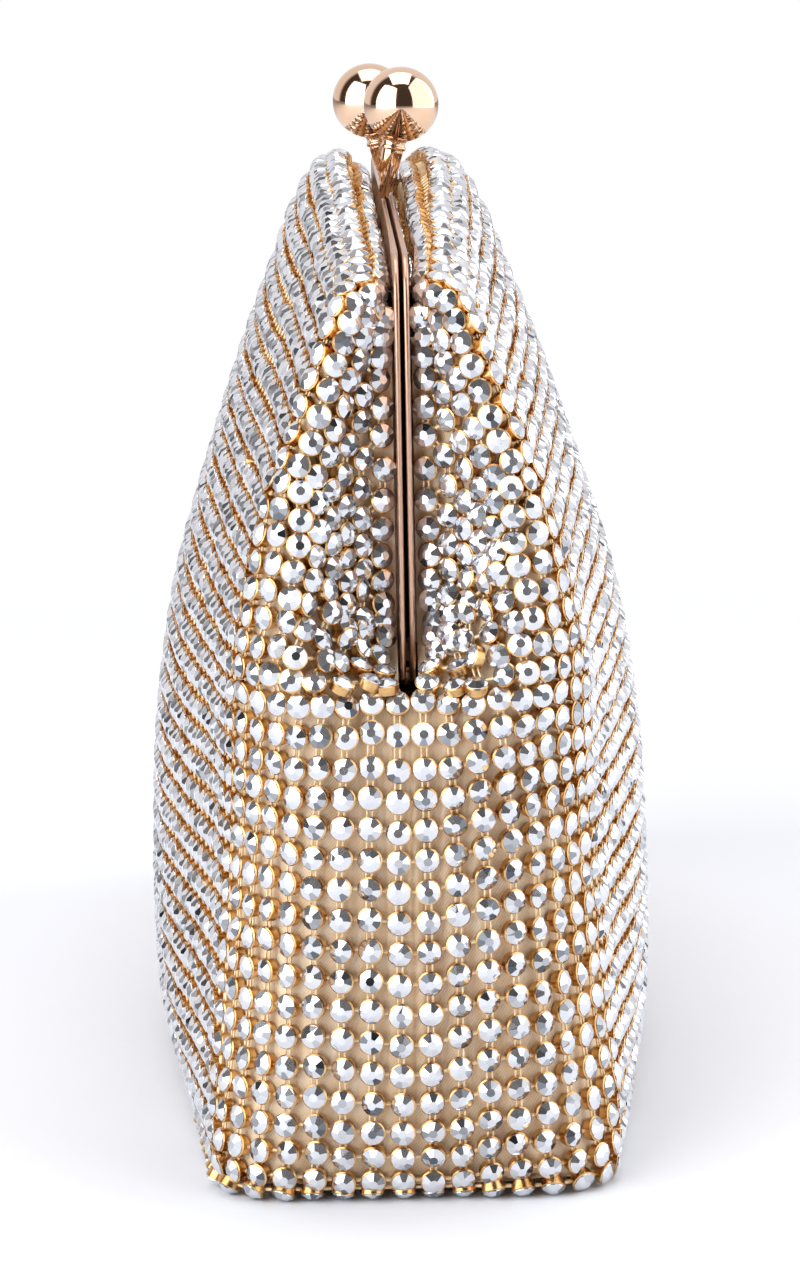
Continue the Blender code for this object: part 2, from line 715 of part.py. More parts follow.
def spaced(low, high, pitch):
    count = max(int((high - low) / pitch), 1)
    return [low + (high - low) * (i + 0.5) / count for i in range(count)]


def sewing_holes(side_y):
    """Holes through the flange along the top and both legs."""
    mesh = bmesh.new()
    y = side_y * (PLATE_OUTER + FLANGE_REACH / 2)
    top = FRAME_HEIGHT - FLANGE_INSET - FLANGE_THICKNESS / 2
    side = HALF_FRAME - FLANGE_INSET - FLANGE_THICKNESS / 2
    reach = HALF_FRAME - LIP_WIDTH - RELIEF_LENGTH
    length = FLANGE_THICKNESS + 2 * OVERRUN
    for x in spaced(-reach, reach, SEWING_PITCH):
        add_cylinder(mesh, (x, y, top), (0, 0, 1), SEWING_RADIUS, length, HOLE_SEGMENTS)
    low = HINGE_HEIGHT + EAR_SHOULDER
    high = FRAME_HEIGHT - FLANGE_INSET - RELIEF_DROP
    for z in spaced(low, high, SEWING_PITCH):
        for side_x in (-1, 1):
            add_cylinder(mesh, (side_x * side, y, z), (1, 0, 0), SEWING_RADIUS, length, HOLE_SEGMENTS)
    return mesh


def pin_holes():
    mesh = bmesh.new()
    for side_x in (-1, 1):
        centre = (side_x * (HALF_FRAME - LIP_WIDTH), 0.0, HINGE_HEIGHT)
        add_cylinder(mesh, centre, (1, 0, 0), PIN_RADIUS + PIN_CLEARANCE,
                     LIP_WIDTH, ROUND_SEGMENTS)
    return mesh


def turned(profile, segments, place):
    """A closed solid of revolution. The profile runs up the local Z axis as (radius, height)."""
    mesh = bmesh.new()
    rings = []
    for radius, height in profile:
        if radius == 0.0:
            rings.append([mesh.verts.new((0.0, 0.0, height))])
            continue
        rings.append([
            mesh.verts.new((radius * math.cos(2 * math.pi * i / segments),
                            radius * math.sin(2 * math.pi * i / segments), height))
            for i in range(segments)
        ])
    pairs = list(zip(rings, rings[1:]))
    if profile[0][0] > 0.0:
        pairs.append((rings[-1], rings[0]))
    for first, second in pairs:
        for i in range(segments):
            j = (i + 1) % segments
            corners = [first[i % len(first)], first[j % len(first)],
                       second[j % len(second)], second[i % len(second)]]
            mesh.faces.new(list(dict.fromkeys(corners)))
    bmesh.ops.recalc_face_normals(mesh, faces=mesh.faces)
    bmesh.ops.transform(mesh, matrix=place, verts=mesh.verts)
    return mesh


def rivet_solid(side_x):
    """A two-headed rivet through the front and the rear ear."""
    low = ear_span(1)[0] - SEAT_GAP
    high = ear_span(-1)[1] + SEAT_GAP
    profile = [
        (0.0, low - RIVET_HEAD_THICKNESS),
        (RIVET_HEAD_RADIUS * 0.6, low - RIVET_HEAD_THICKNESS),
        (RIVET_HEAD_RADIUS, low - RIVET_HEAD_THICKNESS / 2),
        (RIVET_HEAD_RADIUS, low),
        (PIN_RADIUS, low),
        (PIN_RADIUS, high),
        (RIVET_HEAD_RADIUS, high),
        (RIVET_HEAD_RADIUS, high + RIVET_HEAD_THICKNESS / 2),
        (RIVET_HEAD_RADIUS * 0.6, high + RIVET_HEAD_THICKNESS),
        (0.0, high + RIVET_HEAD_THICKNESS),
    ]
    turn = Matrix.Rotation(side_x * math.pi / 2, 4, "Y")
    return turned(profile, ROUND_SEGMENTS, Matrix.Translation((0.0, 0.0, HINGE_HEIGHT)) @ turn)


def stem_foot(side_y):
    """Foot of a stem on the rail's top edge. The front one stands on the +X side."""
    y = side_y * (PLATE_INNER + PLATE_OUTER) / 2
    return Vector((-side_y * BALL_SPREAD, y, FRAME_HEIGHT + SEAT_GAP))


def ball_centre(side_y):
    """Each ball leans over to the other half, so the two snap past each other."""
    return Vector((-side_y * BALL_SPREAD, -side_y * BALL_OFFSET, BALL_HEIGHT))


def clasp_place(side_y):
    """A frame at the stem's foot with its Z axis towards the ball."""
    foot = stem_foot(side_y)
    lean = ball_centre(side_y) - foot
    turn = Vector((0, 0, 1)).rotation_difference(lean).to_matrix().to_4x4()
    return Matrix.Translation(foot) @ turn


def stem_length(side_y):
    return (ball_centre(side_y) - stem_foot(side_y)).length - BALL_RADIUS - SEAT_GAP


def stem_solid(side_y):
    """A tapered stem, thick under the ball and thin at its foot."""
    length = stem_length(side_y)
    profile = [
        (0.0, 0.0),
        (STEM_FOOT_RADIUS, 0.0),
        (STEM_FOOT_RADIUS * 1.1, length * 0.15),
        (STEM_TOP_RADIUS * 0.85, length * 0.6),
        (STEM_TOP_RADIUS, length),
        (0.0, length),
    ]
    return turned(profile, ROUND_SEGMENTS, clasp_place(side_y))


def collar_solid(side_y):
    """A flared ferrule round the stem's top, cut to the ball above it."""
    bore = STEM_TOP_RADIUS + SEAT_GAP
    wall = bore + COLLAR_WALL
    reach = stem_length(side_y) + SEAT_GAP + BALL_RADIUS
    top = reach - math.sqrt((BALL_RADIUS + SEAT_GAP) ** 2 - bore ** 2)
    outer_top = reach - math.sqrt((BALL_RADIUS + SEAT_GAP) ** 2 - wall ** 2)
    foot = top - COLLAR_HEIGHT
    profile = [
        (bore, foot),
        (wall + COLLAR_WALL / 2, foot),
        (wall + COLLAR_WALL / 2, foot + COLLAR_HEIGHT * 0.25),
        (wall, foot + COLLAR_HEIGHT * 0.4),
        (wall, outer_top),
        (bore, top),
    ]
    return turned(profile, ROUND_SEGMENTS, clasp_place(side_y))


def ball_solid(side_y):
    mesh = bmesh.new()
    bmesh.ops.create_uvsphere(mesh, u_segments=SPHERE_SEGMENTS, v_segments=SPHERE_RINGS,
                              radius=BALL_RADIUS, matrix=Matrix.Translation(ball_centre(side_y)))
    return mesh


def place_object(name, mesh, material, parent=None):
    """Puts a mesh in the scene as a named object, hung on its hinge where it has one."""
    if parent is not None:
        bmesh.ops.translate(mesh, vec=-parent.location, verts=mesh.verts)
    data = bpy.data.meshes.new(name)
    mesh.to_mesh(data)
    mesh.free()
    data.shade_smooth()
    data.set_sharp_from_angle(angle=math.radians(40))
    item = bpy.data.objects.new(name, data)
    bpy.context.scene.collection.objects.link(item)
    if material is not None:
        data.materials.append(material)
    item.parent = parent
    return item


def shape_with(item, name, mesh, operation):
    """Cuts or joins a helper solid into an object and hides the helper."""
    helper = place_object(name, mesh, None, item.parent)
    helper.hide_render = True
    helper.display_type = "WIRE"
    modifier = item.modifiers.new(name, "BOOLEAN")
    modifier.operation = operation
    modifier.solver = "EXACT"
    modifier.object = helper


def hinge_empty(name):
    empty = bpy.data.objects.new(name, None)
    empty.location = (0.0, 0.0, HINGE_HEIGHT)
    bpy.context.scene.collection.objects.link(empty)
    return empty


def make_rail(half, side_y, parent):
    rail = place_object(half + "_rail", rail_sweep(side_y), rose_gold(), parent)
    shape_with(rail, half + "_foot_notches", foot_notches(side_y), "DIFFERENCE")
    for side_x, end in ((1, "right"), (-1, "left")):
        shape_with(rail, half + "_ear_" + end, ear_solid(side_x, side_y), "UNION")
        shape_with(rail, half + "_joggle_" + end, shoulder_block(side_x, side_y), "UNION")
    shape_with(rail, half + "_corner_reliefs", corner_reliefs(side_y), "DIFFERENCE")
    shape_with(rail, half + "_sewing_holes", sewing_holes(side_y), "DIFFERENCE")
    shape_with(rail, half + "_pin_holes", pin_holes(), "DIFFERENCE")


def make_clasp(half, side_y, parent):
    place_object(half + "_stem", stem_solid(side_y), rose_gold(), parent)
    place_object(half + "_collar", collar_solid(side_y), rose_gold(), parent)
    place_object(half + "_ball", ball_solid(side_y), rose_gold(), parent)


def make_lobe(half, side_y, parent):
    place_object(half + "_lobe_mesh", ribbed_lobe(side_y),
                 stone_mesh(), parent)
    place_object(half + "_lobe_backing",
                 inner_lobe_layer(side_y, BACKING_INSET, BACKING_THICKNESS, BACKING_RIM),
                 satin(), parent)
    place_object(half + "_lobe_lining",
                 inner_lobe_layer(side_y, LINING_INSET, LINING_THICKNESS, LINING_RIM),
                 lining_cloth(), parent)


def make_half(half, side_y):
    hinge = hinge_empty(half + "_hinge")
    make_rail(half, side_y, hinge)
    make_clasp(half, side_y, hinge)
    make_lobe(half, side_y, hinge)


def make_pouch():
    place_object("pouch_mesh", ribbed_pouch(), stone_mesh())
    place_object("pouch_backing", pouch_layer(BACKING_INSET, BACKING_THICKNESS, BACKING_INSET), satin())
    place_object("pouch_lining", pouch_layer(LINING_INSET, LINING_THICKNESS, LINING_FLOOR),
                 lining_cloth())
    place_object("base_board", board_layer(), greyboard())
    place_object("slip_pocket", pocket_layer(), lining_cloth())
    place_object("front_fold", fold_layer(-1), stone_mesh())
    place_object("rear_fold", fold_layer(1), stone_mesh())
    place_object("hinge_rivet_right", rivet_solid(1), rivet_metal())
    place_object("hinge_rivet_left", rivet_solid(-1), rivet_metal())


def main():
    remove_all_objects()
    make_pouch()
    make_half("front", -1)
    make_half("rear", 1)


main()
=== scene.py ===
"""Evening clutch: a net of foiled stones over champagne satin on a hinged rose gold frame."""

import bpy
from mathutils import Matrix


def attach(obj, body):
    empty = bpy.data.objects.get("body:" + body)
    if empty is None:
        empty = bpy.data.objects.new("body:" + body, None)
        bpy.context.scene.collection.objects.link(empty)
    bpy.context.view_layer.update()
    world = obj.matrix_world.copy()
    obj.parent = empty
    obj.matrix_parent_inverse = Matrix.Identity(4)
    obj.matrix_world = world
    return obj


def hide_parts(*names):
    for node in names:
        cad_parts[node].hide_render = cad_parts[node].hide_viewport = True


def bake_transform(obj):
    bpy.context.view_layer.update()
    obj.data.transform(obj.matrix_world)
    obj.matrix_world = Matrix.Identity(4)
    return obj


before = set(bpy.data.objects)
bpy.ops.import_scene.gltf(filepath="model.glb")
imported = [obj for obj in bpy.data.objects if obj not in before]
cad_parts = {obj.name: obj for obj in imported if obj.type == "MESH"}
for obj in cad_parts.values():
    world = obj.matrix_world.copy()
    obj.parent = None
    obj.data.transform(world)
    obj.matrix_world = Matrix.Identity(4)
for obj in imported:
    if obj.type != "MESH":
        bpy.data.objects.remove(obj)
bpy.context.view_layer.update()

import math

import bmesh
import bpy
import numpy as np
from mathutils import Quaternion, Vector

# Sizes of the bag, in metres
MM = 0.001
HALF_LENGTH = 0.104
HALF_DEPTH = 0.036
HINGE_HEIGHT = 0.068
LOBE_RISE = 0.0622
FRAME_HEIGHT = 0.124
FRAME_CORNER_RADIUS = 0.008
HALF_FRAME = 0.0945
MESH_LEG = 0.0925
LEG_EDGE = 0.0013
VALLEY_WIDTH = 0.0095
END_CROWN = 0.0015
WALL_GIRTH = 0.147
WRAP_POWER = 1.3
ARCH_POWER = 1.8
END_POWER = 12
FACE_BULGE = 0.7
FACE_SWELL = 0.15
VALLEY_SHARE = 0.6

# A place on a quarter of the wall has a girth, from 0 at the base's edge to 1 at the frame, and a turn round the
# quarter, from 0 in the middle of the end to 3 at mid-length
CORNER_START = 1.0
CORNER_END = 2.0
MID_LENGTH = 3.0
STEP = 0.004
BASE_STEP = 0.014
BASE_STEP_GIRTH = 0.04

# Sizes of the net
ROWS = 36
END_COLUMNS = 6
FACE_COLUMNS = 25
CONTINUOUS_ROWS = 17
ROW_PHASE = 0.75
END_PITCH_GIRTHS = (0.0, 0.3, 0.47)
END_PITCHES = (0.004, 0.0039, 0.00325)
UPPER_END_PITCH = 0.0034
LONGEST_LINK = 0.0075
STONE_SIDES = 16
STONE_FACETS = 8
STONE_RADIUS = 0.00152
STONE_GIRDLE = 0.00022
STONE_TABLE_SHARE = 0.36
STONE_SLOPE_DEG = 31
STONE_RISE = STONE_GIRDLE + STONE_RADIUS * (1 - STONE_TABLE_SHARE) * math.tan(math.radians(STONE_SLOPE_DEG))
CUP_RADIUS = 0.00169
CUP_FOOT_RADIUS = 0.00152
CUP_HEIGHT = 0.00115
CUP_DEPTH = 0.0017
CUP_RIM_SHARE = 0.6
LINK_SIDES = 6
CROSS_LINK_SHARE = 0.45
UPRIGHT_LINK_SHARE = 0.6
SATIN_DEPTH = 0.00215
LINING_DEPTH = 0.0035
BASE_ROWS = 2
BASE_HALF_ROWS = 4
BASE_HALF_COLUMNS = 23
BASE_PITCHES = (0.00404, 0.0041)
RAIL_CLEARANCE = 0.0021
CLOTH_CLEARANCE = 0.00125
BASE_GAP = 0.0006
TABLE_GAP = 0.0002
SATIN_FLOOR = 0.0021
LINING_FLOOR = 0.0047
LINING_FOOT = 0.021
FLOOR_SHARES = (0.0, 0.33, 0.66)
WALL_LINES = 90
GATHER_DEPTH = 0.00025
PLEAT_DEPTH = 0.0002
CREASE_DEPTH = 0.0006
CREASE_TURN = 0.22
CREASE_WIDTH = 0.07
CREASE_TOP = 0.42

# How far the hand-laid net strays from even rows. Each wave has a height, its rates along girth and turn, and its
# start. Waves, pairs and sags shift by shares of girth, leans and looseness are slopes, the rest is in metres.
WAVES = ((1.0, 9.0, 5.0, 1.0), (0.7, 21.0, -11.0, 2.1), (0.5, 4.0, 23.0, 3.3))
WAVES_TOTAL = 2.2
WAVE_SHIFT = 0.0038
PAIR_SHIFT = 0.03
PAIR_LEAN = 0.1
FRONT_SAG = 0.010
REAR_SAG = 0.021
CROWD_SHIFT = 0.00038
LIP_GIRTH = 0.5
LIP_WIDTH = 0.035
LIP_RISE = 0.0004
LIP_LEAN = 0.4
HINGE_BAND_GIRTH = 0.46
END_LEAN_UP = 0.07
END_LEAN_ALONG = 0.16
LOOSENESS = 0.075
CROWD_LOOSENESS = 0.2
BASE_LOOSENESS = 0.05
NET_SEED = 11
BASE_SEED = 5

# Sizes of the clasp
BALL_RADIUS = 0.0055
BALL_SPREAD = 0.00565
BALL_OFFSET = 0.0022
BALL_HEIGHT = 0.138
STEM_FOOT_RADIUS = 0.00065
STEM_TOP_RADIUS = 0.00145
STEM_FOOT_RISE = 0.0003
COLLAR_DROP = 0.0012
PLATE_MIDDLE = 0.000625
BUFFED_EDGE = 0.00031
OUTLINE_SLACK = 0.00005
CORNER_SLACK = 0.00012

# The camera, solved from the balls, the rails, the outline and the rows of stones
PHOTO_HEIGHT_PX = 1280
FOCAL_LENGTH_PX = 4740
SENSOR_HEIGHT_MM = 36.0
CAMERA_PLACE = (0.7030, -0.01215, 0.1790)
CAMERA_TURN_DEG = 1.05
CAMERA_PITCH_DEG = 9.81
CAMERA_ROLL_DEG = -1.05

# The room
SOFTBOX_DISTANCE = 0.9
TABLE_SIZE = 12.0
TABLE_MIDDLE = (-3.0, 0.0, 0.0)

# The wall's stations. They began as those of the CAD. Here the lower wall and the tops of the upper halves are fuller,
# by up to 2.7 mm on each side near the base, and the arch is 0.8 mm lower, to match the photograph's outline.
# Girth, height at mid-length, at the ends and beside the leg, depth in the middle and at the ends,
# length, depth and length of the corner, valley beside the leg, wrap round its top.
# A height is a share of the hinge's height up to 1, and above 1 of the rise from there to the top.
STATIONS = [
    (0.0, 0.0, 0.0, 0.0, 0.885, 0.745, 0.976, 0.31, 0.10, 0.0, 0.0),
    (0.041, 0.075, 0.075, 0.075, 0.98, 0.77, 0.990, 0.40, 0.125, 0.0, 0.0),
    (0.082, 0.155, 0.155, 0.155, 1.015, 0.77, 0.997, 0.50, 0.165, 0.0, 0.0),
    (0.170, 0.340, 0.340, 0.340, 1.025, 0.760, 1.0, 0.60, 0.235, 0.0, 0.0),
    (0.300, 0.620, 0.620, 0.620, 1.01, 0.73, 1.0, 0.64, 0.265, 0.0, 0.0),
    (0.410, 0.855, 0.855, 0.855, 0.96, 0.705, 1.0, 0.60, 0.230, 0.02, 0.0),
    (0.475, 1.0, 1.0, 1.0, 0.91, 0.68, 1.0, 0.54, 0.18, 0.26, 0.0),
    (0.550, 1.175, 1.160, 1.065, 0.825, 0.63, 0.994, 0.48, 0.135, 0.8, 0.0),
    (0.640, 1.373, 1.350, 1.175, 0.715, 0.55, 0.985, 0.46, 0.10, 0.97, 0.0),
    (0.730, 1.570, 1.525, 1.350, 0.60, 0.45, 0.975, 0.46, 0.077, 1.0, 0.0),
    (0.810, 1.760, 1.675, 1.540, 0.475, 0.345, 0.96, 0.48, 0.06, 1.0, 0.0),
    (0.870, 1.900, 1.780, 1.660, 0.38, 0.27, 0.94, 0.50, 0.05, 1.0, 0.0),
    (0.915, 1.985, 1.835, 1.725, 0.275, 0.205, 0.92, 0.50, 0.045, 1.0, 0.2),
    (0.940, 2.0, 1.848, 1.750, 0.195, 0.14, 0.908, 0.50, 0.045, 1.0, 0.4),
    (0.960, 1.965, 1.843, 1.763, 0.105, 0.08, 0.898, 0.50, 0.055, 1.0, 0.7),
    (0.980, 1.880, 1.825, 1.772, 0.037, 0.037, 0.888, 0.50, 0.07, 1.0, 1.0),
    (1.0, 1.798, 1.798, 1.785, 0.036, 0.036, 0.88, 0.50, 0.08, 1.0, 1.0),
]


# Selecting and finishing pieces

def deselect_all():
    """Nothing of the frame or of an earlier piece stays selected."""
    bpy.ops.object.select_all(action="DESELECT")


def pick(piece):
    """Only this piece is selected, and it is the active one."""
    deselect_all()
    piece.select_set(True)
    bpy.context.view_layer.objects.active = piece


def new_object(name, data):
    """A new object with that data, linked into the scene."""
    made = bpy.data.objects.new(name, data)
    bpy.context.scene.collection.objects.link(made)
    return made


def edit_all():
    """Opens the active piece in edit mode with all of it selected."""
    bpy.ops.object.mode_set(mode="EDIT")
    bpy.ops.mesh.select_all(action="SELECT")


def close_outwards():
    """Turns the selected faces outwards and leaves edit mode."""
    bpy.ops.mesh.normals_make_consistent(inside=False)
    bpy.ops.object.mode_set(mode="OBJECT")


def edit_with_edges(piece, wanted):
    """Opens a piece in edit mode with only those edges selected whose two ends are wanted."""
    points = [piece.matrix_world @ vertex.co for vertex in piece.data.vertices]
    for vertex in piece.data.vertices:
        vertex.select = False
    for face in piece.data.polygons:
        face.select = False
    for edge in piece.data.edges:
        edge.select = bool(wanted(points[edge.vertices[0]], points[edge.vertices[1]]))
    bpy.ops.object.mode_set(mode="EDIT")
    bpy.ops.mesh.select_mode(type="EDGE")


def place_in_mesh(piece):
    """The object goes to the origin and its place goes into its mesh."""
    pick(piece)
    bpy.ops.object.transform_apply(location=True, rotation=True, scale=True)


def point_faces_outwards(piece):
    """Joins the vertices that meet and turns every face outwards."""
    pick(piece)
    edit_all()
    bpy.ops.mesh.remove_doubles(threshold=0.000001)
    close_outwards()


def smooth_below(piece, degrees):
    """Shades smooth across every edge that is flatter than that."""
    pick(piece)
    bpy.ops.object.shade_smooth_by_angle(angle=math.radians(degrees))


def dress(piece, material):
    """Gives a piece its only material."""
    piece.data.materials.clear()
    piece.data.materials.append(material)


def recolour(name, material):
    """Gives a node that is kept from the CAD its finish."""
    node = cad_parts[name]
    node.data.materials.clear()
    node.data.materials.append(material)


# Materials

def linear(hex_colour):
    """An sRGB colour written as six hex digits, made linear."""
    channels = [int(hex_colour[i:i + 2], 16) / 255 for i in (0, 2, 4)]
    return tuple(c / 12.92 if c <= 0.04045 else ((c + 0.055) / 1.055) ** 2.4 for c in channels) + (1.0,)


def add_node(material, kind, settings=None, links=None):
    """Adds one node. Settings are its properties or inputs, and links feed its inputs."""
    node = material.node_tree.nodes.new(kind)
    for name, value in (settings or {}).items():
        if isinstance(name, int) or name in node.inputs:
            node.inputs[name].default_value = value
        else:
            setattr(node, name, value)
    for name, output in (links or {}).items():
        material.node_tree.links.new(output, node.inputs[name])
    return node


def set_inputs(material, shader, inputs):
    """Feeds a shader: an output is linked to its input, and anything else is the input's value."""
    for name, value in inputs.items():
        if isinstance(value, bpy.types.NodeSocket):
            material.node_tree.links.new(value, shader.inputs[name])
        else:
            shader.inputs[name].default_value = value


def new_material(name):
    """A new material and its shader."""
    material = bpy.data.materials.new(name)
    material.use_nodes = True
    shader = material.node_tree.nodes["Principled BSDF"]
    return material, shader


def two_colours(material, factor, low, high, start=0.0, end=1.0):
    """A ramp from one colour at the start to the other at the end."""
    ramp = add_node(material, "ShaderNodeValToRGB", {}, {"Fac": factor})
    ramp.color_ramp.elements[0].position = start
    ramp.color_ramp.elements[0].color = linear(low)
    ramp.color_ramp.elements[1].position = end
    ramp.color_ramp.elements[1].color = linear(high)
    return ramp.outputs["Color"]


def polished_rose_gold():
    """Plated and buffed brass: a mirror with a warm pink cast and the faint haze of a polishing cloth."""
    material, shader = new_material("polished_rose_gold_plate")
    place = add_node(material, "ShaderNodeTexCoord").outputs["Object"]
    haze = add_node(material, "ShaderNodeTexNoise", {"Scale": 900.0, "Detail": 2.0}, {"Vector": place})
    roughness = add_node(material, "ShaderNodeMapRange", {"To Min": 0.05, "To Max": 0.11},
                         {"Value": haze.outputs["Fac"]})
    cloud = add_node(material, "ShaderNodeTexNoise", {"Scale": 60.0, "Detail": 1.0}, {"Vector": place})
    colour = two_colours(material, cloud.outputs["Fac"], "E6BE9C", "EDCBAF", 0.3, 0.7)
    set_inputs(material, shader, {"Base Color": colour, "Roughness": roughness.outputs["Result"], "Metallic": 1.0})
    return material


def gold_cups():
    """Stamped gold cups: brassy metal, darker and lighter in random patches."""
    material, shader = new_material("stamped_gold_cups")
    place = add_node(material, "ShaderNodeTexCoord").outputs["Object"]
    random_gold_patches = add_node(material, "ShaderNodeTexNoise", {"Scale": 400.0, "Detail": 3.0}, {"Vector": place})
    # Random patches of darker and lighter gold over the cups.
    colour = two_colours(material, random_gold_patches.outputs["Fac"], "BE8C54", "E4BE86", 0.35, 0.65)
    set_inputs(material, shader, {"Base Color": colour, "Metallic": 1.0, "Roughness": 0.26})
    return material


def gilt_wire():
    """Thin gilt wire: pale gold, brushed, so it stays light from every side."""
    material, shader = new_material("pale_gilt_wire")
    place = add_node(material, "ShaderNodeTexCoord").outputs["Object"]
    brush = add_node(material, "ShaderNodeTexNoise", {"Scale": 900.0, "Detail": 2.0}, {"Vector": place})
    colour = two_colours(material, brush.outputs["Fac"], "E6C797", "FAE6C2", 0.35, 0.65)
    set_inputs(material, shader, {"Base Color": colour, "Metallic": 0.6, "Roughness": 0.42})
    return material


def brushed_rose_gold_painted_shade():
    """Rail edges rubbed with a fine file: a short grain and a soft shine, in a rose brown darker than the polished
    plate of the same frame, which is painted shade.
    """
    material, shader = new_material("rail_edge_brushed_and_painted_shade")
    place = add_node(material, "ShaderNodeTexCoord").outputs["Object"]
    grain = add_node(material, "ShaderNodeMapping", {"Scale": (1.0, 3.0, 0.4)}, {"Vector": place})
    rub = add_node(material, "ShaderNodeTexNoise", {"Scale": 2600.0, "Detail": 3.0},
                   {"Vector": grain.outputs["Vector"]})
    # Painted shade: both ends of this ramp are darker than the polished rose gold, so the rail edges stay brown; the
    # grain itself is the brushing.
    colour = two_colours(material, rub.outputs["Fac"], "BF9980", "D3AF98", 0.3, 0.7)
    roughness = add_node(material, "ShaderNodeMapRange", {"To Min": 0.26, "To Max": 0.34},
                         {"Value": rub.outputs["Fac"]})
    set_inputs(material, shader, {"Base Color": colour, "Roughness": roughness.outputs["Result"], "Metallic": 1.0})
    return material


def foiled_stones():
    """Glass with a silvered back: flat facets with painted reflections, a random grey on each, mostly bright and some
    dark, that stands in for the room thrown back.
    """
    material, shader = new_material("silver_foiled_glass_painted_reflection")
    painted_reflection = add_node(material, "ShaderNodeAttribute", {"attribute_name": "facet_painted_reflection"})
    # Painted reflection: the ramp turns each facet's random tone into a grey from dark to bright, standing in for the
    # room that the facet would mirror.
    colour = two_colours(material, painted_reflection.outputs["Fac"], "50565F", "DCDEE3", 0.04, 0.55)
    set_inputs(material, shader, {"Base Color": colour, "Metallic": 0.86, "Roughness": 0.06,
                                  "Coat Weight": 0.3, "Coat Roughness": 0.02})
    return material


def champagne_satin():
    """Satin weave: fine diagonal ribs with a soft sheen, golden in the shade."""
    material, shader = new_material("champagne_satin_weave")
    cloth = add_node(material, "ShaderNodeUVMap", {"uv_map": "cloth"}).outputs["UV"]
    turned = add_node(material, "ShaderNodeMapping", {"Rotation": (0.0, 0.0, math.radians(38))},
                      {"Vector": cloth})
    ribs = add_node(material, "ShaderNodeTexWave",
                    {"wave_type": "BANDS", "bands_direction": "X", "Scale": 0.95, "Distortion": 1.2,
                     "Detail": 2.0, "Detail Scale": 3.0}, {"Vector": turned.outputs["Vector"]})
    slubs = add_node(material, "ShaderNodeTexNoise", {"Scale": 0.35, "Detail": 4.0}, {"Vector": cloth})
    colour = two_colours(material, slubs.outputs["Fac"], "F8D9AE", "FFF0D6", 0.3, 0.7)
    shaded = add_node(material, "ShaderNodeMix", {"data_type": "RGBA", "blend_type": "MULTIPLY", 0: 0.16},
                      {6: colour, 7: ribs.outputs["Color"]})
    bump = add_node(material, "ShaderNodeBump", {"Strength": 0.3, "Distance": 0.00005},
                    {"Height": ribs.outputs["Fac"]})
    set_inputs(material, shader, {"Base Color": shaded.outputs[2], "Normal": bump.outputs["Normal"],
                                  "Roughness": 0.42, "Sheen Weight": 0.35, "Sheen Roughness": 0.35})
    return material


def lining_taffeta():
    """Plain taffeta: a tight square weave, matt with a slight sheen."""
    material, shader = new_material("beige_lining_taffeta")
    cloth = add_node(material, "ShaderNodeUVMap", {"uv_map": "cloth"}).outputs["UV"]
    warp = add_node(material, "ShaderNodeTexWave", {"bands_direction": "X", "Scale": 1.3}, {"Vector": cloth})
    weft = add_node(material, "ShaderNodeTexWave", {"bands_direction": "Y", "Scale": 1.3}, {"Vector": cloth})
    weave = add_node(material, "ShaderNodeMath", {"operation": "MULTIPLY"},
                     {0: warp.outputs["Fac"], 1: weft.outputs["Fac"]})
    colour = two_colours(material, weave.outputs["Value"], "AE9478", "C9B093")
    bump = add_node(material, "ShaderNodeBump", {"Strength": 0.3, "Distance": 0.00006},
                    {"Height": weave.outputs["Value"]})
    set_inputs(material, shader, {"Base Color": colour, "Normal": bump.outputs["Normal"],
                                  "Roughness": 0.6, "Sheen Weight": 0.25})
    return material


def grey_board():
    """Millboard: grey pulp with short fibres."""
    material, shader = new_material("grey_millboard")
    place = add_node(material, "ShaderNodeTexCoord").outputs["Object"]
    pulp = add_node(material, "ShaderNodeTexNoise", {"Scale": 900.0, "Detail": 5.0}, {"Vector": place})
    colour = two_colours(material, pulp.outputs["Fac"], "8C857B", "A9A298", 0.35, 0.65)
    bump = add_node(material, "ShaderNodeBump", {"Strength": 0.4, "Distance": 0.0001},
                    {"Height": pulp.outputs["Fac"]})
    set_inputs(material, shader, {"Base Color": colour, "Normal": bump.outputs["Normal"], "Roughness": 0.85})
    return material


# The wall, read from its stations

def rising(value, start, width):
    """0 up to the start, 1 from one width after it, and even in between."""
    return np.clip((value - start) / width, 0.0, 1.0)


def falling(value, end, width):
    """1 up to one width before the end, 0 from the end on, and even in between."""
    return np.clip((end - value) / width, 0.0, 1.0)


def station_height(share):
    """Height of a station in metres."""
    return HINGE_HEIGHT * min(share, 1.0) + LOBE_RISE * max(share - 1.0, 0.0)


def station_table():
    """The stations in metres."""
    rows = []
    for girth, mid, end, leg, deep, end_deep, length, corner, bend, valley, wrap in STATIONS:
        rows.append((girth, station_height(mid), station_height(end), station_height(leg),
                     HALF_DEPTH * deep, HALF_DEPTH * end_deep, HALF_LENGTH * length,
                     HALF_DEPTH * end_deep * corner, HALF_LENGTH * bend, valley, wrap))
    return np.array(rows)


def gentle_slopes(at, values):
    """Slopes at the stations that never overshoot: flat at every turning point."""
    steps = np.diff(values) / np.diff(at)
    slopes = [steps[0]]
    for before, after in zip(steps, steps[1:]):
        slopes.append(0.0 if before * after <= 0 else 2 * before * after / (before + after))
    return np.array(slopes + [steps[-1]])


TABLE = station_table()
SLOPES = np.array([gentle_slopes(TABLE[:, 0], TABLE[:, i]) for i in range(TABLE.shape[1])]).T


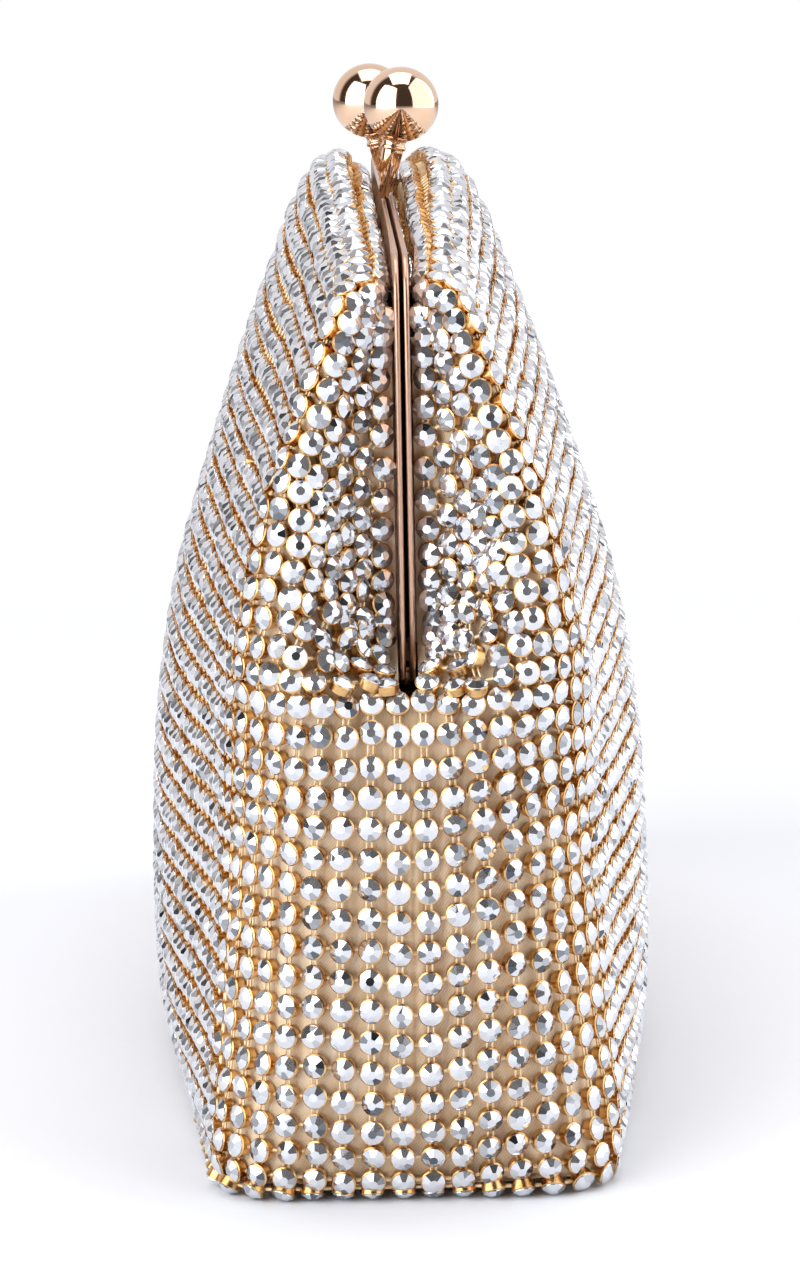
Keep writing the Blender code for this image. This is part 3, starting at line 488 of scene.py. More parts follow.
def read_stations(girth):
    """Every station value at each girth share, read smoothly between the stations."""
    girth = np.asarray(girth, float)
    index = np.clip(np.searchsorted(TABLE[:, 0], girth, side="right") - 1, 0, len(TABLE) - 2)
    span = TABLE[index + 1, 0] - TABLE[index, 0]
    t = ((girth - TABLE[index, 0]) / span)[..., None]
    span = span[..., None]
    read = ((2 * t ** 3 - 3 * t ** 2 + 1) * TABLE[index] + (t ** 3 - 2 * t ** 2 + t) * span * SLOPES[index]
            + (3 * t ** 2 - 2 * t ** 3) * TABLE[index + 1] + (t ** 3 - t ** 2) * span * SLOPES[index + 1])
    return [read[..., i] for i in range(1, TABLE.shape[1])]


def wall_points(girth, turn):
    """Points of the wall's outer face in the quarter where X and Y are positive."""
    girth, turn = np.broadcast_arrays(np.asarray(girth, float), np.asarray(turn, float))
    under = np.maximum(-girth, 0.0) * WALL_GIRTH
    girth = np.maximum(girth, 0.0)
    mid, end, leg, deep, end_deep, length, corner, corner_length, valley, wrap = read_stations(girth)
    straight = np.minimum(turn, CORNER_START)
    bend = np.clip(turn - CORNER_START, 0.0, 1.0) * math.pi / 2
    run = np.maximum(turn - CORNER_END, 0.0)
    spread = (np.minimum(turn, CORNER_END) / CORNER_END) ** WRAP_POWER
    x = length - corner_length * (wrap * spread + (1 - wrap) * (1 - np.cos(bend)))
    y = straight * (end_deep - corner) + corner * np.sin(bend)
    bulge = FACE_BULGE * (1 - (1 - run) ** 2) + FACE_SWELL * (1 + np.cos(math.pi * (1 - run)))
    x = np.where(turn > CORNER_END, (length - corner_length) * (1 - run), x)
    y = np.where(turn > CORNER_END, end_deep + (deep - end_deep) * bulge, y)
    near_end = np.clip(x / length, 0.0, 1.0) ** END_POWER
    width = np.minimum(VALLEY_WIDTH, VALLEY_SHARE * end_deep)
    in_valley = np.exp(-(y / width) ** 2) * near_end
    z = end + (mid - end) * (1 - (x / length) ** ARCH_POWER) - (end - leg) * in_valley
    crown = END_CROWN * (1 - valley) * np.minimum(y / end_deep, 1.0) ** 2 * near_end
    x = x - valley * np.maximum(length - MESH_LEG, 0.0) * in_valley - crown
    edge = LEG_EDGE * rising(girth, 0.47, 0.03)
    y = y + edge * np.maximum(1 - y / end_deep, 0.0)
    x = x - under * np.cos(bend)
    y = y - under * np.sin(bend)
    return np.stack([x, y, np.maximum(z, BASE_GAP)], -1)


def wall_frame(girth, turn):
    """Point, direction along the row, direction up the wall and outward normal, all in that quarter."""
    girth, turn = np.broadcast_arrays(np.asarray(girth, float), np.asarray(turn, float))
    step = np.where(girth < BASE_STEP_GIRTH, BASE_STEP, STEP)
    low, high = girth - step, np.minimum(girth + step, 1.0)
    near, far = np.maximum(turn - STEP, 0.0), np.minimum(turn + STEP, MID_LENGTH)
    up = wall_points(high, turn) - wall_points(low, turn)
    along = wall_points(girth, far) - wall_points(girth, near)
    normal = np.cross(along, up)
    normal[..., 0] = np.where(turn >= MID_LENGTH, 0.0, normal[..., 0])
    normal /= np.linalg.norm(normal, axis=-1, keepdims=True)
    along /= np.linalg.norm(along, axis=-1, keepdims=True)
    return wall_points(girth, turn), along, np.cross(normal, along), normal


def turns_round(end, corner, face):
    """Turns of a quarter, with that many places at the end, round the corner and on the face."""
    return np.concatenate([np.linspace(0, 1, end), np.linspace(1, 2, corner)[1:], np.linspace(2, 3, face)[1:]])


def row_turns(girth, count_end, count_face):
    """Turns of the stones of one row: those at the end, counted from the corner, and those on the face."""
    turns = turns_round(60, 90, 200)
    points = wall_points(girth, turns)
    run = np.concatenate([[0.0], np.cumsum(np.linalg.norm(np.diff(points, axis=0), axis=1))])
    corner = np.interp(1.5, turns, run)
    if count_end == END_COLUMNS:
        corner = count_end * np.interp(girth, END_PITCH_GIRTHS, END_PITCHES)
    first = 0.5 if count_end == END_COLUMNS else 0.62
    end = corner - (np.arange(count_end) + first) * corner / count_end
    face = corner + (run[-1] - corner) * (np.arange(count_face) + 0.5) / count_face
    return np.interp(end, run, turns), np.interp(face, run, turns), corner


def turned_to(points, side_x, side_y):
    """Points of the quarter where X and Y are positive, mirrored to the quarter that is asked for."""
    return points * np.array([side_x, side_y, 1.0])


# Studio and camera

def make_camera():
    """The photograph's view: along the bag's length, a little from above."""
    data = bpy.data.cameras.new("camera")
    data.sensor_fit = "VERTICAL"
    data.sensor_height = SENSOR_HEIGHT_MM
    data.lens = FOCAL_LENGTH_PX / PHOTO_HEIGHT_PX * SENSOR_HEIGHT_MM
    data.clip_start = 0.01
    data.clip_end = 50.0
    camera = new_object("camera", data)
    turn, pitch = math.radians(CAMERA_TURN_DEG), math.radians(CAMERA_PITCH_DEG)
    look = Vector((-math.cos(turn) * math.cos(pitch), math.sin(turn) * math.cos(pitch), -math.sin(pitch)))
    camera.location = CAMERA_PLACE
    level = look.to_track_quat("-Z", "Y")
    camera.rotation_euler = (level @ Quaternion((0.0, 0.0, 1.0), math.radians(CAMERA_ROLL_DEG))).to_euler()
    bpy.context.scene.camera = camera
    bpy.context.scene.view_settings.view_transform = "Standard"


def softbox(name, azimuth, elevation, width, height, power):
    """A soft area lamp seen from the clasp at that azimuth from the camera's side and elevation."""
    data = bpy.data.lights.new(name, "AREA")
    data.shape = "RECTANGLE"
    data.size = width
    data.size_y = height
    data.energy = power
    lamp = new_object(name, data)
    a, e = math.radians(azimuth), math.radians(elevation)
    away = Vector((math.cos(a) * math.cos(e), math.sin(a) * math.cos(e), math.sin(e)))
    lamp.location = Vector((0.0, 0.0, FRAME_HEIGHT)) + away * SOFTBOX_DISTANCE
    lamp.rotation_euler = away.to_track_quat("Z", "Y").to_euler()
    return lamp


def standing_softbox(name, azimuth, width, height, power):
    """A softbox that stands upright on the table at that azimuth from the camera's side."""
    softbox(name, azimuth, 0, width, height, power).location.z = height / 2


def make_lights():
    """Two big softboxes at the sides, one overhead, and a dim room with a white wall behind."""
    standing_softbox("left_softbox", azimuth=-50, width=1.16, height=1.5, power=17.0)
    standing_softbox("right_softbox", azimuth=80, width=1.74, height=1.8, power=17.5)
    softbox("top_softbox", azimuth=0, elevation=93, width=0.7, height=0.8, power=4.5)
    world = bpy.data.worlds.new("studio_room")
    bpy.context.scene.world = world
    world.use_nodes = True
    nodes, links = world.node_tree.nodes, world.node_tree.links
    direction = add_node(world, "ShaderNodeTexCoord").outputs["Generated"]
    split = add_node(world, "ShaderNodeSeparateXYZ", {}, {0: direction})
    wall = add_node(world, "ShaderNodeMapRange", {"From Min": -0.45, "From Max": -0.25, "To Min": 1.0, "To Max": 0.0},
                    {"Value": split.outputs["X"]})
    room = add_node(world, "ShaderNodeMix", {"data_type": "RGBA", 6: linear("473F3C"), 7: linear("F4F2F4")},
                    {0: wall.outputs["Result"]})
    links.new(room.outputs[2], nodes["Background"].inputs["Color"])
    seen = add_node(world, "ShaderNodeBackground", {"Color": linear("FFFFFF")})
    path = add_node(world, "ShaderNodeLightPath")
    mix = add_node(world, "ShaderNodeMixShader", {}, {
        0: path.outputs["Is Camera Ray"], 1: nodes["Background"].outputs[0], 2: seen.outputs[0]})
    links.new(mix.outputs[0], nodes["World Output"].inputs["Surface"])


def make_stage():
    """A pale table that runs far back, pure white where it is far from the bag."""
    material, shader = new_material("pale_studio_table")
    set_inputs(material, shader, {"Roughness": 0.65, "Base Color": linear("ECEFF5")})
    place = add_node(material, "ShaderNodeTexCoord").outputs["Object"]
    away = add_node(material, "ShaderNodeVectorMath", {"operation": "LENGTH"}, {0: place})
    far = add_node(material, "ShaderNodeMapRange", {"From Min": 0.11, "From Max": 0.42},
                   {"Value": away.outputs["Value"]})
    path = add_node(material, "ShaderNodeLightPath")
    share = add_node(material, "ShaderNodeMath", {"operation": "MULTIPLY"},
                     {0: far.outputs["Result"], 1: path.outputs["Is Camera Ray"]})
    white = add_node(material, "ShaderNodeEmission", {"Color": linear("FFFFFF"), "Strength": 1.0})
    mix = add_node(material, "ShaderNodeMixShader", {}, {
        0: share.outputs["Value"], 1: shader.outputs[0], 2: white.outputs[0]})
    material.node_tree.links.new(mix.outputs[0], material.node_tree.nodes["Material Output"].inputs["Surface"])
    deselect_all()
    bpy.ops.mesh.primitive_plane_add(size=TABLE_SIZE, location=TABLE_MIDDLE)
    floor = bpy.context.object
    floor.name = "studio_floor"
    bpy.ops.object.mode_set(mode="EDIT")
    bpy.ops.mesh.subdivide(number_cuts=4)
    bpy.ops.object.mode_set(mode="OBJECT")
    place_in_mesh(floor)
    floor.data.materials.append(material)


# Masters of the net's three repeated shapes

def stone_master():
    """A round stone as a cutter makes it: a disc with eight facets ground round a flat table."""
    table = STONE_RADIUS * STONE_TABLE_SHARE
    slope = math.radians(STONE_SLOPE_DEG)
    rise = (STONE_RADIUS - table) * math.tan(slope)
    height = STONE_GIRDLE + rise
    deselect_all()
    bpy.ops.mesh.primitive_cylinder_add(vertices=STONE_SIDES, radius=STONE_RADIUS, depth=height,
                                        location=(0.0, 0.0, height / 2))
    stone = bpy.context.object
    stone.name = "stone_master"
    place_in_mesh(stone)
    bpy.ops.object.mode_set(mode="EDIT")
    for facet in range(STONE_FACETS):
        turn = 2 * math.pi / STONE_FACETS * facet
        out = Vector((math.cos(turn) * math.sin(slope), math.sin(turn) * math.sin(slope), math.cos(slope)))
        edge = Vector((math.cos(turn) * STONE_RADIUS, math.sin(turn) * STONE_RADIUS, STONE_GIRDLE))
        bpy.ops.mesh.select_all(action="SELECT")
        bpy.ops.mesh.bisect(plane_co=edge, plane_no=out, use_fill=True, clear_outer=True)
    bpy.ops.mesh.select_all(action="SELECT")
    bpy.ops.mesh.remove_doubles(threshold=0.00001)
    close_outwards()
    return stone


def cup_master():
    """A stamped cup: a tapered wall rolled to a thin rim round the stone."""
    deselect_all()
    bpy.ops.mesh.primitive_circle_add(vertices=STONE_SIDES, radius=CUP_FOOT_RADIUS, fill_type="NGON")
    cup = bpy.context.object
    cup.name = "cup_master"
    edit_all()
    bpy.ops.mesh.extrude_region_move(TRANSFORM_OT_translate={"value": (0, 0, CUP_HEIGHT)})
    widen = CUP_RADIUS / CUP_FOOT_RADIUS
    bpy.ops.transform.resize(value=(widen, widen, 1.0))
    bpy.ops.mesh.inset(thickness=CUP_RADIUS - STONE_RADIUS)
    bpy.ops.transform.translate(value=(0.0, 0.0, STONE_GIRDLE * CUP_RIM_SHARE))
    bpy.ops.mesh.select_all(action="SELECT")
    close_outwards()
    smooth_below(cup, 35)
    return cup


def link_master(name, radius, spread=0.0):
    """A thin round bar a unit long that joins two cups, or a pair of them spread side by side."""
    deselect_all()
    bpy.ops.mesh.primitive_cylinder_add(vertices=LINK_SIDES, radius=radius, depth=1.0,
                                        rotation=(0.0, math.pi / 2, 0.0))
    link = bpy.context.object
    link.name = name
    place_in_mesh(link)
    edit_all()
    if spread:
        bpy.ops.transform.translate(value=(0.0, -spread / 2, 0.0))
        bpy.ops.mesh.duplicate_move(TRANSFORM_OT_translate={"value": (0.0, spread, 0.0)})
    bpy.ops.object.mode_set(mode="OBJECT")
    return link


def set_out(name, master, places, smooth_degrees, rng=None):
    """Copies of a master joined in one mesh, each at its own place: origin, three axes.

    With random numbers each facet gets a painted reflection: a tone, mostly bright, with a dark one on most stones,
    that stands in for the room the foil throws back.
    """
    points = np.array([vertex.co for vertex in master.data.vertices])
    faces = [list(face.vertices) for face in master.data.polygons]
    origins, axes = places
    everywhere = np.einsum("nij,vj->nvi", axes, points) + origins[:, None, :]
    lengths = np.array([len(face) for face in faces])
    corners = np.concatenate([np.array(face) for face in faces])
    count = len(origins)
    loops = (corners[None, :] + np.arange(count)[:, None] * len(points)).ravel()
    mesh = bpy.data.meshes.new(name)
    mesh.vertices.add(count * len(points))
    mesh.vertices.foreach_set("co", everywhere.astype(np.float32).ravel())
    mesh.loops.add(len(loops))
    mesh.loops.foreach_set("vertex_index", loops.astype(np.int32))
    mesh.polygons.add(count * len(faces))
    totals = np.tile(lengths, count)
    mesh.polygons.foreach_set("loop_start", np.concatenate([[0], np.cumsum(totals)[:-1]]).astype(np.int32))
    mesh.update(calc_edges=True)
    mesh.validate()
    mesh.shade_smooth()
    mesh.set_sharp_from_angle(angle=math.radians(smooth_degrees))
    if rng is not None:
        # Painted reflection: a random tone for each facet stands in for the bright and dark parts of the room.
        painted_reflection = mesh.attributes.new("facet_painted_reflection", "FLOAT", "FACE")
        painted_reflection.data.foreach_set("value", rng.beta(1.6, 1.0, (count, len(faces))).astype(np.float32).ravel())
    return new_object(name, mesh)


# The net

def end_count(girth):
    """Stones of one row between the corner and the end's middle."""
    corner = row_turns(girth, 1, 1)[2]
    return int(np.clip(round(corner / UPPER_END_PITCH), 1, END_COLUMNS))


def net_rows():
    """Every row of one quarter: girth and the turns of its stones at the end and on the face."""
    rows = []
    for k in range(-BASE_ROWS, ROWS):
        girth = (k + ROW_PHASE) / ROWS
        count = END_COLUMNS if k < CONTINUOUS_ROWS else end_count(girth)
        end, face, _ = row_turns(girth, count, FACE_COLUMNS)
        rows.append((k, girth, end, face))
    return rows


def slow_waves(girth, run, phase):
    """The hand-made net isn't even: long shallow waves of its rows, from -1 to 1."""
    waves = (height * np.sin(up * girth + along * run + start * phase) for height, up, along, start in WAVES)
    return sum(waves) / WAVES_TOTAL


def jumble(girth, turn):
    """Share of the crowding just above the hinge, where the rows of the end are pressed together."""
    beside_leg = 1.0 - rising(turn, 0.7, 0.9)
    above_hinge = rising(girth, HINGE_BAND_GIRTH, 0.03) * (1.0 - rising(girth, 0.56, 0.12))
    return beside_leg * above_hinge


def sag(girth, turn, side_y):
    """The rows hang lowest in the middle of the end, and climb towards the corners, more at the rear."""
    climb = rising(turn, 0.0, 1.7)
    climb = climb * climb * (3 - 2 * climb) * falling(turn, MID_LENGTH, 1.2)
    low_down = 1.0 - rising(girth, 0.36, 0.12)
    return (REAR_SAG if side_y > 0 else FRONT_SAG) * climb * low_down


def pairing(k, girth):
    """The upper rows gather in pairs with a groove between: 1 for the lower row of a pair, -1 for the other."""
    return (1.0 if k % 2 == 0 else -1.0) * float(rising(girth, 0.53, 0.12))


def quarter_grid(rows, side_x, side_y, rng):
    """Place, axes, looseness and lean of each stone of a quarter, keyed by row and column from the corner."""
    grid = {}
    phase = 1.0 + 2.0 * side_x + side_y
    for k, girth, end, face in rows:
        turns = np.concatenate([end, face])
        drift = WAVE_SHIFT * slow_waves(girth, turns, phase) * falling(turns, MID_LENGTH, 0.3)
        drift = drift * rising(turns, 0.0, 0.6) + sag(girth, turns, side_y)
        pair = pairing(k, girth)
        drift = drift + pair * PAIR_SHIFT / ROWS
        point, along, up, normal = wall_frame(np.minimum(girth + drift, 1.0), turns)
        crowd = jumble(girth, turns)
        shift = rng.normal(0.0, CROWD_SHIFT, (len(turns), 3)) * crowd[:, None]
        lip = falling(turns, 1.6, 0.5) * max(0.0, 1.0 - abs(girth - LIP_GIRTH) / LIP_WIDTH)
        at_end = rising(turns, 0.0, 0.5) * falling(turns, 1.5, 0.4) * (girth < HINGE_BAND_GIRTH)
        lean_up = PAIR_LEAN * pair + LIP_LEAN * lip - END_LEAN_UP * side_y * side_x * at_end
        lean_along = END_LEAN_ALONG * at_end
        point = point + along * shift[:, :1] + up * shift[:, 1:2]
        point = point + normal * (np.abs(shift[:, 2:]) + LIP_RISE * lip[:, None])
        columns = [-1 - i for i in range(len(end))] + list(range(len(face)))
        for i, column in enumerate(columns):
            if turns[i] < CORNER_END and point[i, 2] > HINGE_HEIGHT:
                point[i, 1] = max(point[i, 1], RAIL_CLEARANCE)
            grid[k, column] = (
                turned_to(point[i], side_x, side_y),
                turned_to(along[i], side_x, side_y),
                turned_to(up[i], side_x, side_y),
                turned_to(normal[i], side_x, side_y),
                (LOOSENESS + CROWD_LOOSENESS * float(crowd[i]), float(lean_along[i]), float(lean_up[i])),
            )
    return grid


def base_grid():
    """Stones under the base, in straight rows and columns, facing down."""
    grid = {}
    out, across, down = np.array([1.0, 0.0, 0.0]), np.array([0.0, 1.0, 0.0]), np.array([0.0, 0.0, -1.0])
    for row in range(-BASE_HALF_ROWS, BASE_HALF_ROWS):
        for column in range(-BASE_HALF_COLUMNS, BASE_HALF_COLUMNS):
            point = np.array([(column + 0.5) * BASE_PITCHES[0], (row + 0.5) * BASE_PITCHES[1], BASE_GAP])
            grid[row, column] = (point, out, across, down, (BASE_LOOSENESS, 0.0, 0.0))
    return grid


def stone_places(grid, rng):
    """Origin and axes of every cup, each tilted and spun a little, and none in the table."""
    origins, axes = [], []
    for point, along, up, normal, (looseness, lean_along, lean_up) in grid.values():
        tilt = rng.normal(0.0, looseness, 2)
        n = normal + along * (tilt[0] + lean_along) + up * (tilt[1] + lean_up)
        n /= np.linalg.norm(n)
        spin = rng.uniform(0.0, 2 * math.pi / STONE_FACETS)
        u = up * math.cos(spin) + along * math.sin(spin)
        u -= n * (u @ n)
        u /= np.linalg.norm(u)
        origin = point - n * CUP_DEPTH
        level = math.sqrt(max(0.0, 1.0 - n[2] ** 2))
        rim = origin[2] + n[2] * CUP_HEIGHT - CUP_RADIUS * level
        tip = origin[2] + n[2] * (CUP_HEIGHT + STONE_RISE) - STONE_RADIUS * STONE_TABLE_SHARE * level
        origin[2] += max(0.0, TABLE_GAP - min(rim, tip))
        origins.append(origin)
        axes.append(np.stack([np.cross(u, n), u, n], 1))
    return np.array(origins), np.array(axes)


def raised(places, height):
    """The same places, moved outwards along their own third axis."""
    origins, axes = places
    return origins + axes[:, :, 2] * height, axes


def link_places(pairs, height):
    """Each link lies along the line between two stones, at that height above the cups' feet."""
    origins, axes = [], []
    for first, second in pairs:
        normal = first[3] + second[3]
        normal /= np.linalg.norm(normal)
        reach = second[0] - first[0]
        middle = (first[0] + second[0]) / 2 - normal * (CUP_DEPTH - height)
        length = np.linalg.norm(reach)
        along = reach / length
        across = np.cross(normal, along)
        across /= np.linalg.norm(across)
        out = np.cross(along, across)
        origins.append(middle)
        axes.append(np.stack([along * length, across, out], 1))
    return np.array(origins), np.array(axes)


def neighbours(grid, step_row, step_column):
    """Pairs of stones that lie one step apart and near enough for a link."""
    pairs = []
    for (k, column), place in grid.items():
        other = grid.get((k + step_row, column + step_column))
        if other is not None and np.linalg.norm(other[0] - place[0]) < LONGEST_LINK:
            pairs.append((place, other))
    return pairs


def blend_to_half(piece):
    """Puts the piece's place into its mesh."""
    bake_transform(piece)


def net_pieces(place, grid, across, masters, finishes, rng):
    """Stones, cups and links of one part of the net."""
    stone, cup, double_link, single_link = masters
    stone_finish, gold, wire = finishes
    places = stone_places(grid, rng)
    upward = neighbours(grid, 1, 0)
    pieces = [
        set_out("stones_" + place, stone, raised(places, CUP_HEIGHT), 5, rng),
        set_out("cups_" + place, cup, places, 35),
        set_out("cross_links_" + place, single_link, link_places(across, CUP_HEIGHT * CROSS_LINK_SHARE), 70),
        set_out("upright_links_" + place, double_link, link_places(upward, CUP_HEIGHT * UPRIGHT_LINK_SHARE), 70),
    ]
    for piece, material in zip(pieces, (stone_finish, gold, wire, wire)):
        dress(piece, material)
    return pieces


def make_net():
    """The net: one part for each quarter of the wall, and one under the base."""
    rows = net_rows()
    masters = (stone_master(), cup_master(), link_master("double_link_master", 0.00017, 0.0007),
               link_master("single_link_master", 0.0003))
    finishes = (foiled_stones(), gold_cups(), gilt_wire())
    for half, side_y in (("front", -1), ("rear", 1)):
        for end, side_x in (("right", 1), ("left", -1)):
            rng = np.random.default_rng(NET_SEED + 2 * side_x + side_y)
            grid = quarter_grid(rows, side_x, side_y, rng)
            across = neighbours(grid, 0, 1) + middle_links(rows, grid, side_x, side_y)
            for i, piece in enumerate(net_pieces(half + "_" + end, grid, across, masters, finishes, rng)):
                blend_to_half(piece)
                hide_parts("pouch_mesh", half + "_fold", half + "_lobe_mesh")
    grid = base_grid()
    rng = np.random.default_rng(BASE_SEED)
    for piece in net_pieces("base", grid, neighbours(grid, 0, 1), masters, finishes, rng):
        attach(piece, "pouch")
        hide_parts("pouch_mesh")
    for master in masters:
        bpy.data.objects.remove(master)


def middle_links(rows, grid, side_x, side_y):
    """Links across the middle of the ends below the hinge, and across mid-length."""
    pairs = []
    for k, _, end, face in rows:
        if k < CONTINUOUS_ROWS - 1 and side_y < 0:
            place = grid[k, -len(end)]
            flip = np.array([1.0, -1.0, 1.0])
            pairs.append((place, tuple(part * flip for part in place[:4])))
        if side_x > 0:
            place = grid[k, len(face) - 1]
            flip = np.array([-1.0, 1.0, 1.0])
            pairs.append((place, tuple(part * flip for part in place[:4])))
    return pairs


# Cloth

def mirrored_columns(turns):
    """Columns of a cloth from one end over mid-length to the other: the side of X and the turn of each."""
    return [(1, turn) for turn in turns] + [(-1, turn) for turn in turns[::-1][1:]]


def cloth_depth(depth, girth, turn, side_x, side_y):
    """Satin hangs in soft gathers, with one crease down the end beside the hinge."""
    if depth != SATIN_DEPTH:
        return depth
    creased = side_x * side_y > 0 and girth < CREASE_TOP
    crease = math.exp(-((turn - CREASE_TURN) / CREASE_WIDTH) ** 2) if creased else 0.0
    pleat = math.sin(math.pi * 5.0 * turn + 9.0 * girth + side_x) * math.exp(-turn * 0.4)
    gather = slow_waves(girth * 0.4, 6.0 * turn, 1.0 + side_x)
    return depth + GATHER_DEPTH * gather + PLEAT_DEPTH * pleat + CREASE_DEPTH * crease


def sewn(name, lines, material, handed=1):
    """One cloth from its lines of points, with its own length and width in millimetres as UV."""
    mesh = bmesh.new()
    cloth = mesh.loops.layers.uv.new("cloth")
    grid, marks = [], {}
    rise = 0.0
    for k, line in enumerate(lines):
        row = [mesh.verts.new(point) for point in line]
        middle = len(line) // 2
        if k:
            rise += (line[middle] - lines[k - 1][middle]).length
        runs = np.concatenate([[0.0], np.cumsum([(b - a).length for a, b in zip(line, line[1:])])])
        for vertex, run in zip(row, runs):
            marks[vertex] = (handed * (run - runs[-1] / 2) / MM, rise / MM)
        grid.append(row)
    for low, high in zip(grid, grid[1:]):
        for i in range(len(low) - 1):
            face = mesh.faces.new([low[i], low[i + 1], high[i + 1], high[i]])
            for loop in face.loops:
                loop[cloth].uv = marks[loop.vert]
    bmesh.ops.recalc_face_normals(mesh, faces=mesh.faces)
    data = bpy.data.meshes.new(name)
    mesh.to_mesh(data)
    mesh.free()
    data.shade_smooth()
    piece = new_object(name, data)
    dress(piece, material)
    return piece


def wall_cloth(side_y, depth, floor, foot):
    """Lines of a cloth that follows one half of the wall behind the stones and covers half the floor."""
    turns = turns_round(25, 19, 41)
    columns = mirrored_columns(turns)
    lines = []
    for girth in np.linspace(foot, 1.0, WALL_LINES):
        points, _, _, normals = wall_frame(girth, turns)
        line = []
        for i, (side_x, turn) in enumerate(columns):
            k = min(i, len(columns) - 1 - i)
            behind = points[k] - normals[k] * cloth_depth(depth, girth, float(turn), side_x, side_y)
            if behind[2] > HINGE_HEIGHT:
                behind[1] = max(behind[1], CLOTH_CLEARANCE)
            x, y, z = turned_to(behind, side_x, side_y)
            line.append(Vector((x, y, max(z, floor))))
        lines.append(line)
    floor_lines = [[Vector((p.x, p.y * share, floor)) for p in lines[0]] for share in FLOOR_SHARES]
    return floor_lines + lines


def pocket_cloth():
    """Lines of the flat pocket on the rear lining, with its top edge turned over."""
    turns = np.linspace(2.5, MID_LENGTH, 16)
    seam_depth, seam_width = 0.0002, 0.04
    foot = [(0.075, 0.0004), (0.08, 0.0008)]
    body = [(girth, 0.0009) for girth in np.linspace(0.1, 0.24, 10)]
    hem = [(0.252, 0.0011), (0.256, 0.0008), (0.252, 0.0005), (0.235, 0.0005)]
    lines = []
    for girth, depth in foot + body + hem:
        line = []
        for side_x, turn in mirrored_columns(turns):
            point, _, _, normal = wall_frame(girth, turn)
            stand_off = seam_depth + (depth - seam_depth) * min(1.0, (turn - turns[0]) / seam_width)
            line.append(Vector(turned_to(point - normal * (LINING_DEPTH + stand_off), side_x, 1)))
        lines.append(line)
    return lines


def make_cloths():
    """The satin behind the net and the lining of each half, and the pocket."""
    satin, taffeta = champagne_satin(), lining_taffeta()
    for half, side_y in (("front", -1), ("rear", 1)):
        outer = sewn(half + "_satin", wall_cloth(side_y, SATIN_DEPTH, SATIN_FLOOR, 0.0), satin, side_y)
        inner = sewn(half + "_lining", wall_cloth(side_y, LINING_DEPTH, LINING_FLOOR, LINING_FOOT), taffeta)
        blend_to_half(outer)
        blend_to_half(inner)
        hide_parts("pouch_backing", half + "_lobe_backing")
        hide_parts("pouch_lining", half + "_lobe_lining")
    pocket = sewn("slip_pocket_cloth", pocket_cloth(), taffeta)
    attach(pocket, "pouch")
    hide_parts("slip_pocket")


# The clasp

def drawn_up(name, radius, steps, vertices=40):
    """A round bar drawn up from a disc: each step is a rise and the radius that it ends with."""
    deselect_all()
    bpy.ops.mesh.primitive_circle_add(vertices=vertices, radius=radius, fill_type="NGON")
    piece = bpy.context.object
    piece.name = name
    edit_all()
    for rise, wanted in steps:
        bpy.ops.mesh.extrude_region_move(TRANSFORM_OT_translate={"value": (0, 0, rise)})
        bpy.ops.transform.resize(value=(wanted / radius, wanted / radius, 1.0))
        radius = wanted
    bpy.ops.mesh.select_all(action="SELECT")
    close_outwards()
    return piece


def round_edges(piece, width, segments, degrees=30):
    """Rounds every edge that is sharper than that."""
    bevel = piece.modifiers.new("rounded_edges", "BEVEL")
    bevel.width = width
    bevel.segments = segments
    bevel.limit_method = "ANGLE"
    bevel.angle_limit = math.radians(degrees)
    pick(piece)
    bpy.ops.object.modifier_apply(modifier=bevel.name)


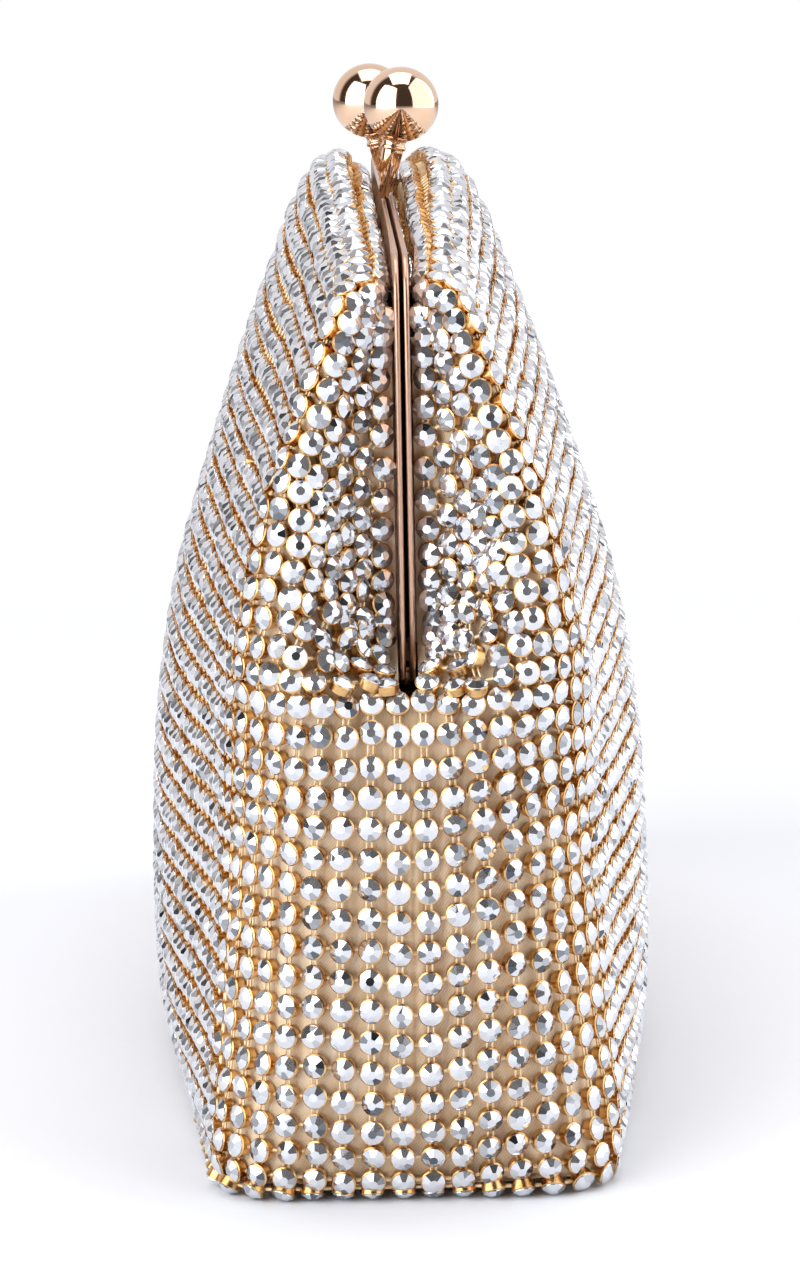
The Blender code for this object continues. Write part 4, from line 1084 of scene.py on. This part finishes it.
def make_clasp(half, side_y, metal):
    """A mirror ball on a tapered stem with a flared ferrule."""
    foot = Vector((-side_y * BALL_SPREAD, side_y * PLATE_MIDDLE, FRAME_HEIGHT + STEM_FOOT_RISE))
    centre = Vector((-side_y * BALL_SPREAD, -side_y * BALL_OFFSET, BALL_HEIGHT))
    lean = (centre - foot).normalized()
    turn = Vector((0, 0, 1)).rotation_difference(lean)
    reach = (centre - foot).length - BALL_RADIUS
    stem = drawn_up(half + "_stem_tapered", STEM_FOOT_RADIUS * 0.8, [
        (0.0002, STEM_FOOT_RADIUS),
        (reach * 0.15, STEM_FOOT_RADIUS * 1.35),
        (reach * 0.3, STEM_TOP_RADIUS * 0.95),
        (reach * 0.3, STEM_TOP_RADIUS * 1.07),
        (reach * 0.25 - 0.0004, STEM_TOP_RADIUS * 1.1),
    ])
    collar = drawn_up(half + "_collar_flared", STEM_TOP_RADIUS + 0.00025, [
        (0.0001, STEM_TOP_RADIUS + 0.00042),
        (0.00045, STEM_TOP_RADIUS + 0.00046),
        (0.0002, STEM_TOP_RADIUS + 0.00024),
        (0.0006, STEM_TOP_RADIUS + 0.0003),
        (0.0005, STEM_TOP_RADIUS + 0.00075),
        (0.0002, STEM_TOP_RADIUS + 0.0008),
    ], 48)
    collar.location = foot + lean * (reach - COLLAR_DROP)
    stem.location = foot
    deselect_all()
    bpy.ops.mesh.primitive_uv_sphere_add(segments=96, ring_count=48, radius=BALL_RADIUS, location=centre)
    ball = bpy.context.object
    ball.name = half + "_ball_polished"
    for piece, degrees in ((ball, 60), (stem, 30), (collar, 30)):
        if piece is not ball:
            piece.rotation_mode = "QUATERNION"
            piece.rotation_quaternion = turn
        place_in_mesh(piece)
        if piece is not ball:
            round_edges(piece, 0.00008, 2)
        smooth_below(piece, degrees)
        dress(piece, metal)
        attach(piece, half + "_half")
    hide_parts(half + "_ball")
    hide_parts(half + "_stem")
    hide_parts(half + "_collar")


def on_outline(point):
    """True on the rail's outer outline: up the leg, round the corner and along the top."""
    x, z = abs(point.x), point.z
    centre_x, centre_z = HALF_FRAME - FRAME_CORNER_RADIUS, FRAME_HEIGHT - FRAME_CORNER_RADIUS
    if x > centre_x and z > centre_z:
        return math.hypot(x - centre_x, z - centre_z) > FRAME_CORNER_RADIUS - CORNER_SLACK
    return x > HALF_FRAME - OUTLINE_SLACK or z > FRAME_HEIGHT - OUTLINE_SLACK


def make_rail(half, metal):
    """The bent rail, with the edge that shows buffed round and every other edge broken."""
    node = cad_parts[half + "_rail"]
    rail = new_object(half + "_rail_buffed", node.data.copy())
    point_faces_outwards(rail)
    edit_all()
    bpy.ops.mesh.dissolve_limited(angle_limit=math.radians(1.0))
    bpy.ops.object.mode_set(mode="OBJECT")
    edit_with_edges(rail, lambda a, b: on_outline(a) and on_outline(b) and abs(a.y - b.y) < 0.00001)
    bpy.ops.mesh.bevel(offset=BUFFED_EDGE, segments=4, affect="EDGES")
    bpy.ops.object.mode_set(mode="OBJECT")
    round_edges(rail, 0.00006, 1, 50)
    smooth_below(rail, 40)
    dress(rail, metal)
    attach(rail, half + "_half")
    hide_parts(half + "_rail")


def make_frame_and_clasp():
    """Rails, stems, collars and balls of both halves, and the finish of the rivets."""
    # The rails' brushed metal carries painted shade in its darker colour.
    metal, brushed = polished_rose_gold(), brushed_rose_gold_painted_shade()
    for half, side_y in (("front", -1), ("rear", 1)):
        make_clasp(half, side_y, metal)
        make_rail(half, brushed)
    for end in ("right", "left"):
        recolour("hinge_rivet_" + end, metal)


make_camera()
make_lights()
make_stage()
make_net()
make_cloths()
make_frame_and_clasp()
recolour("base_board", grey_board())
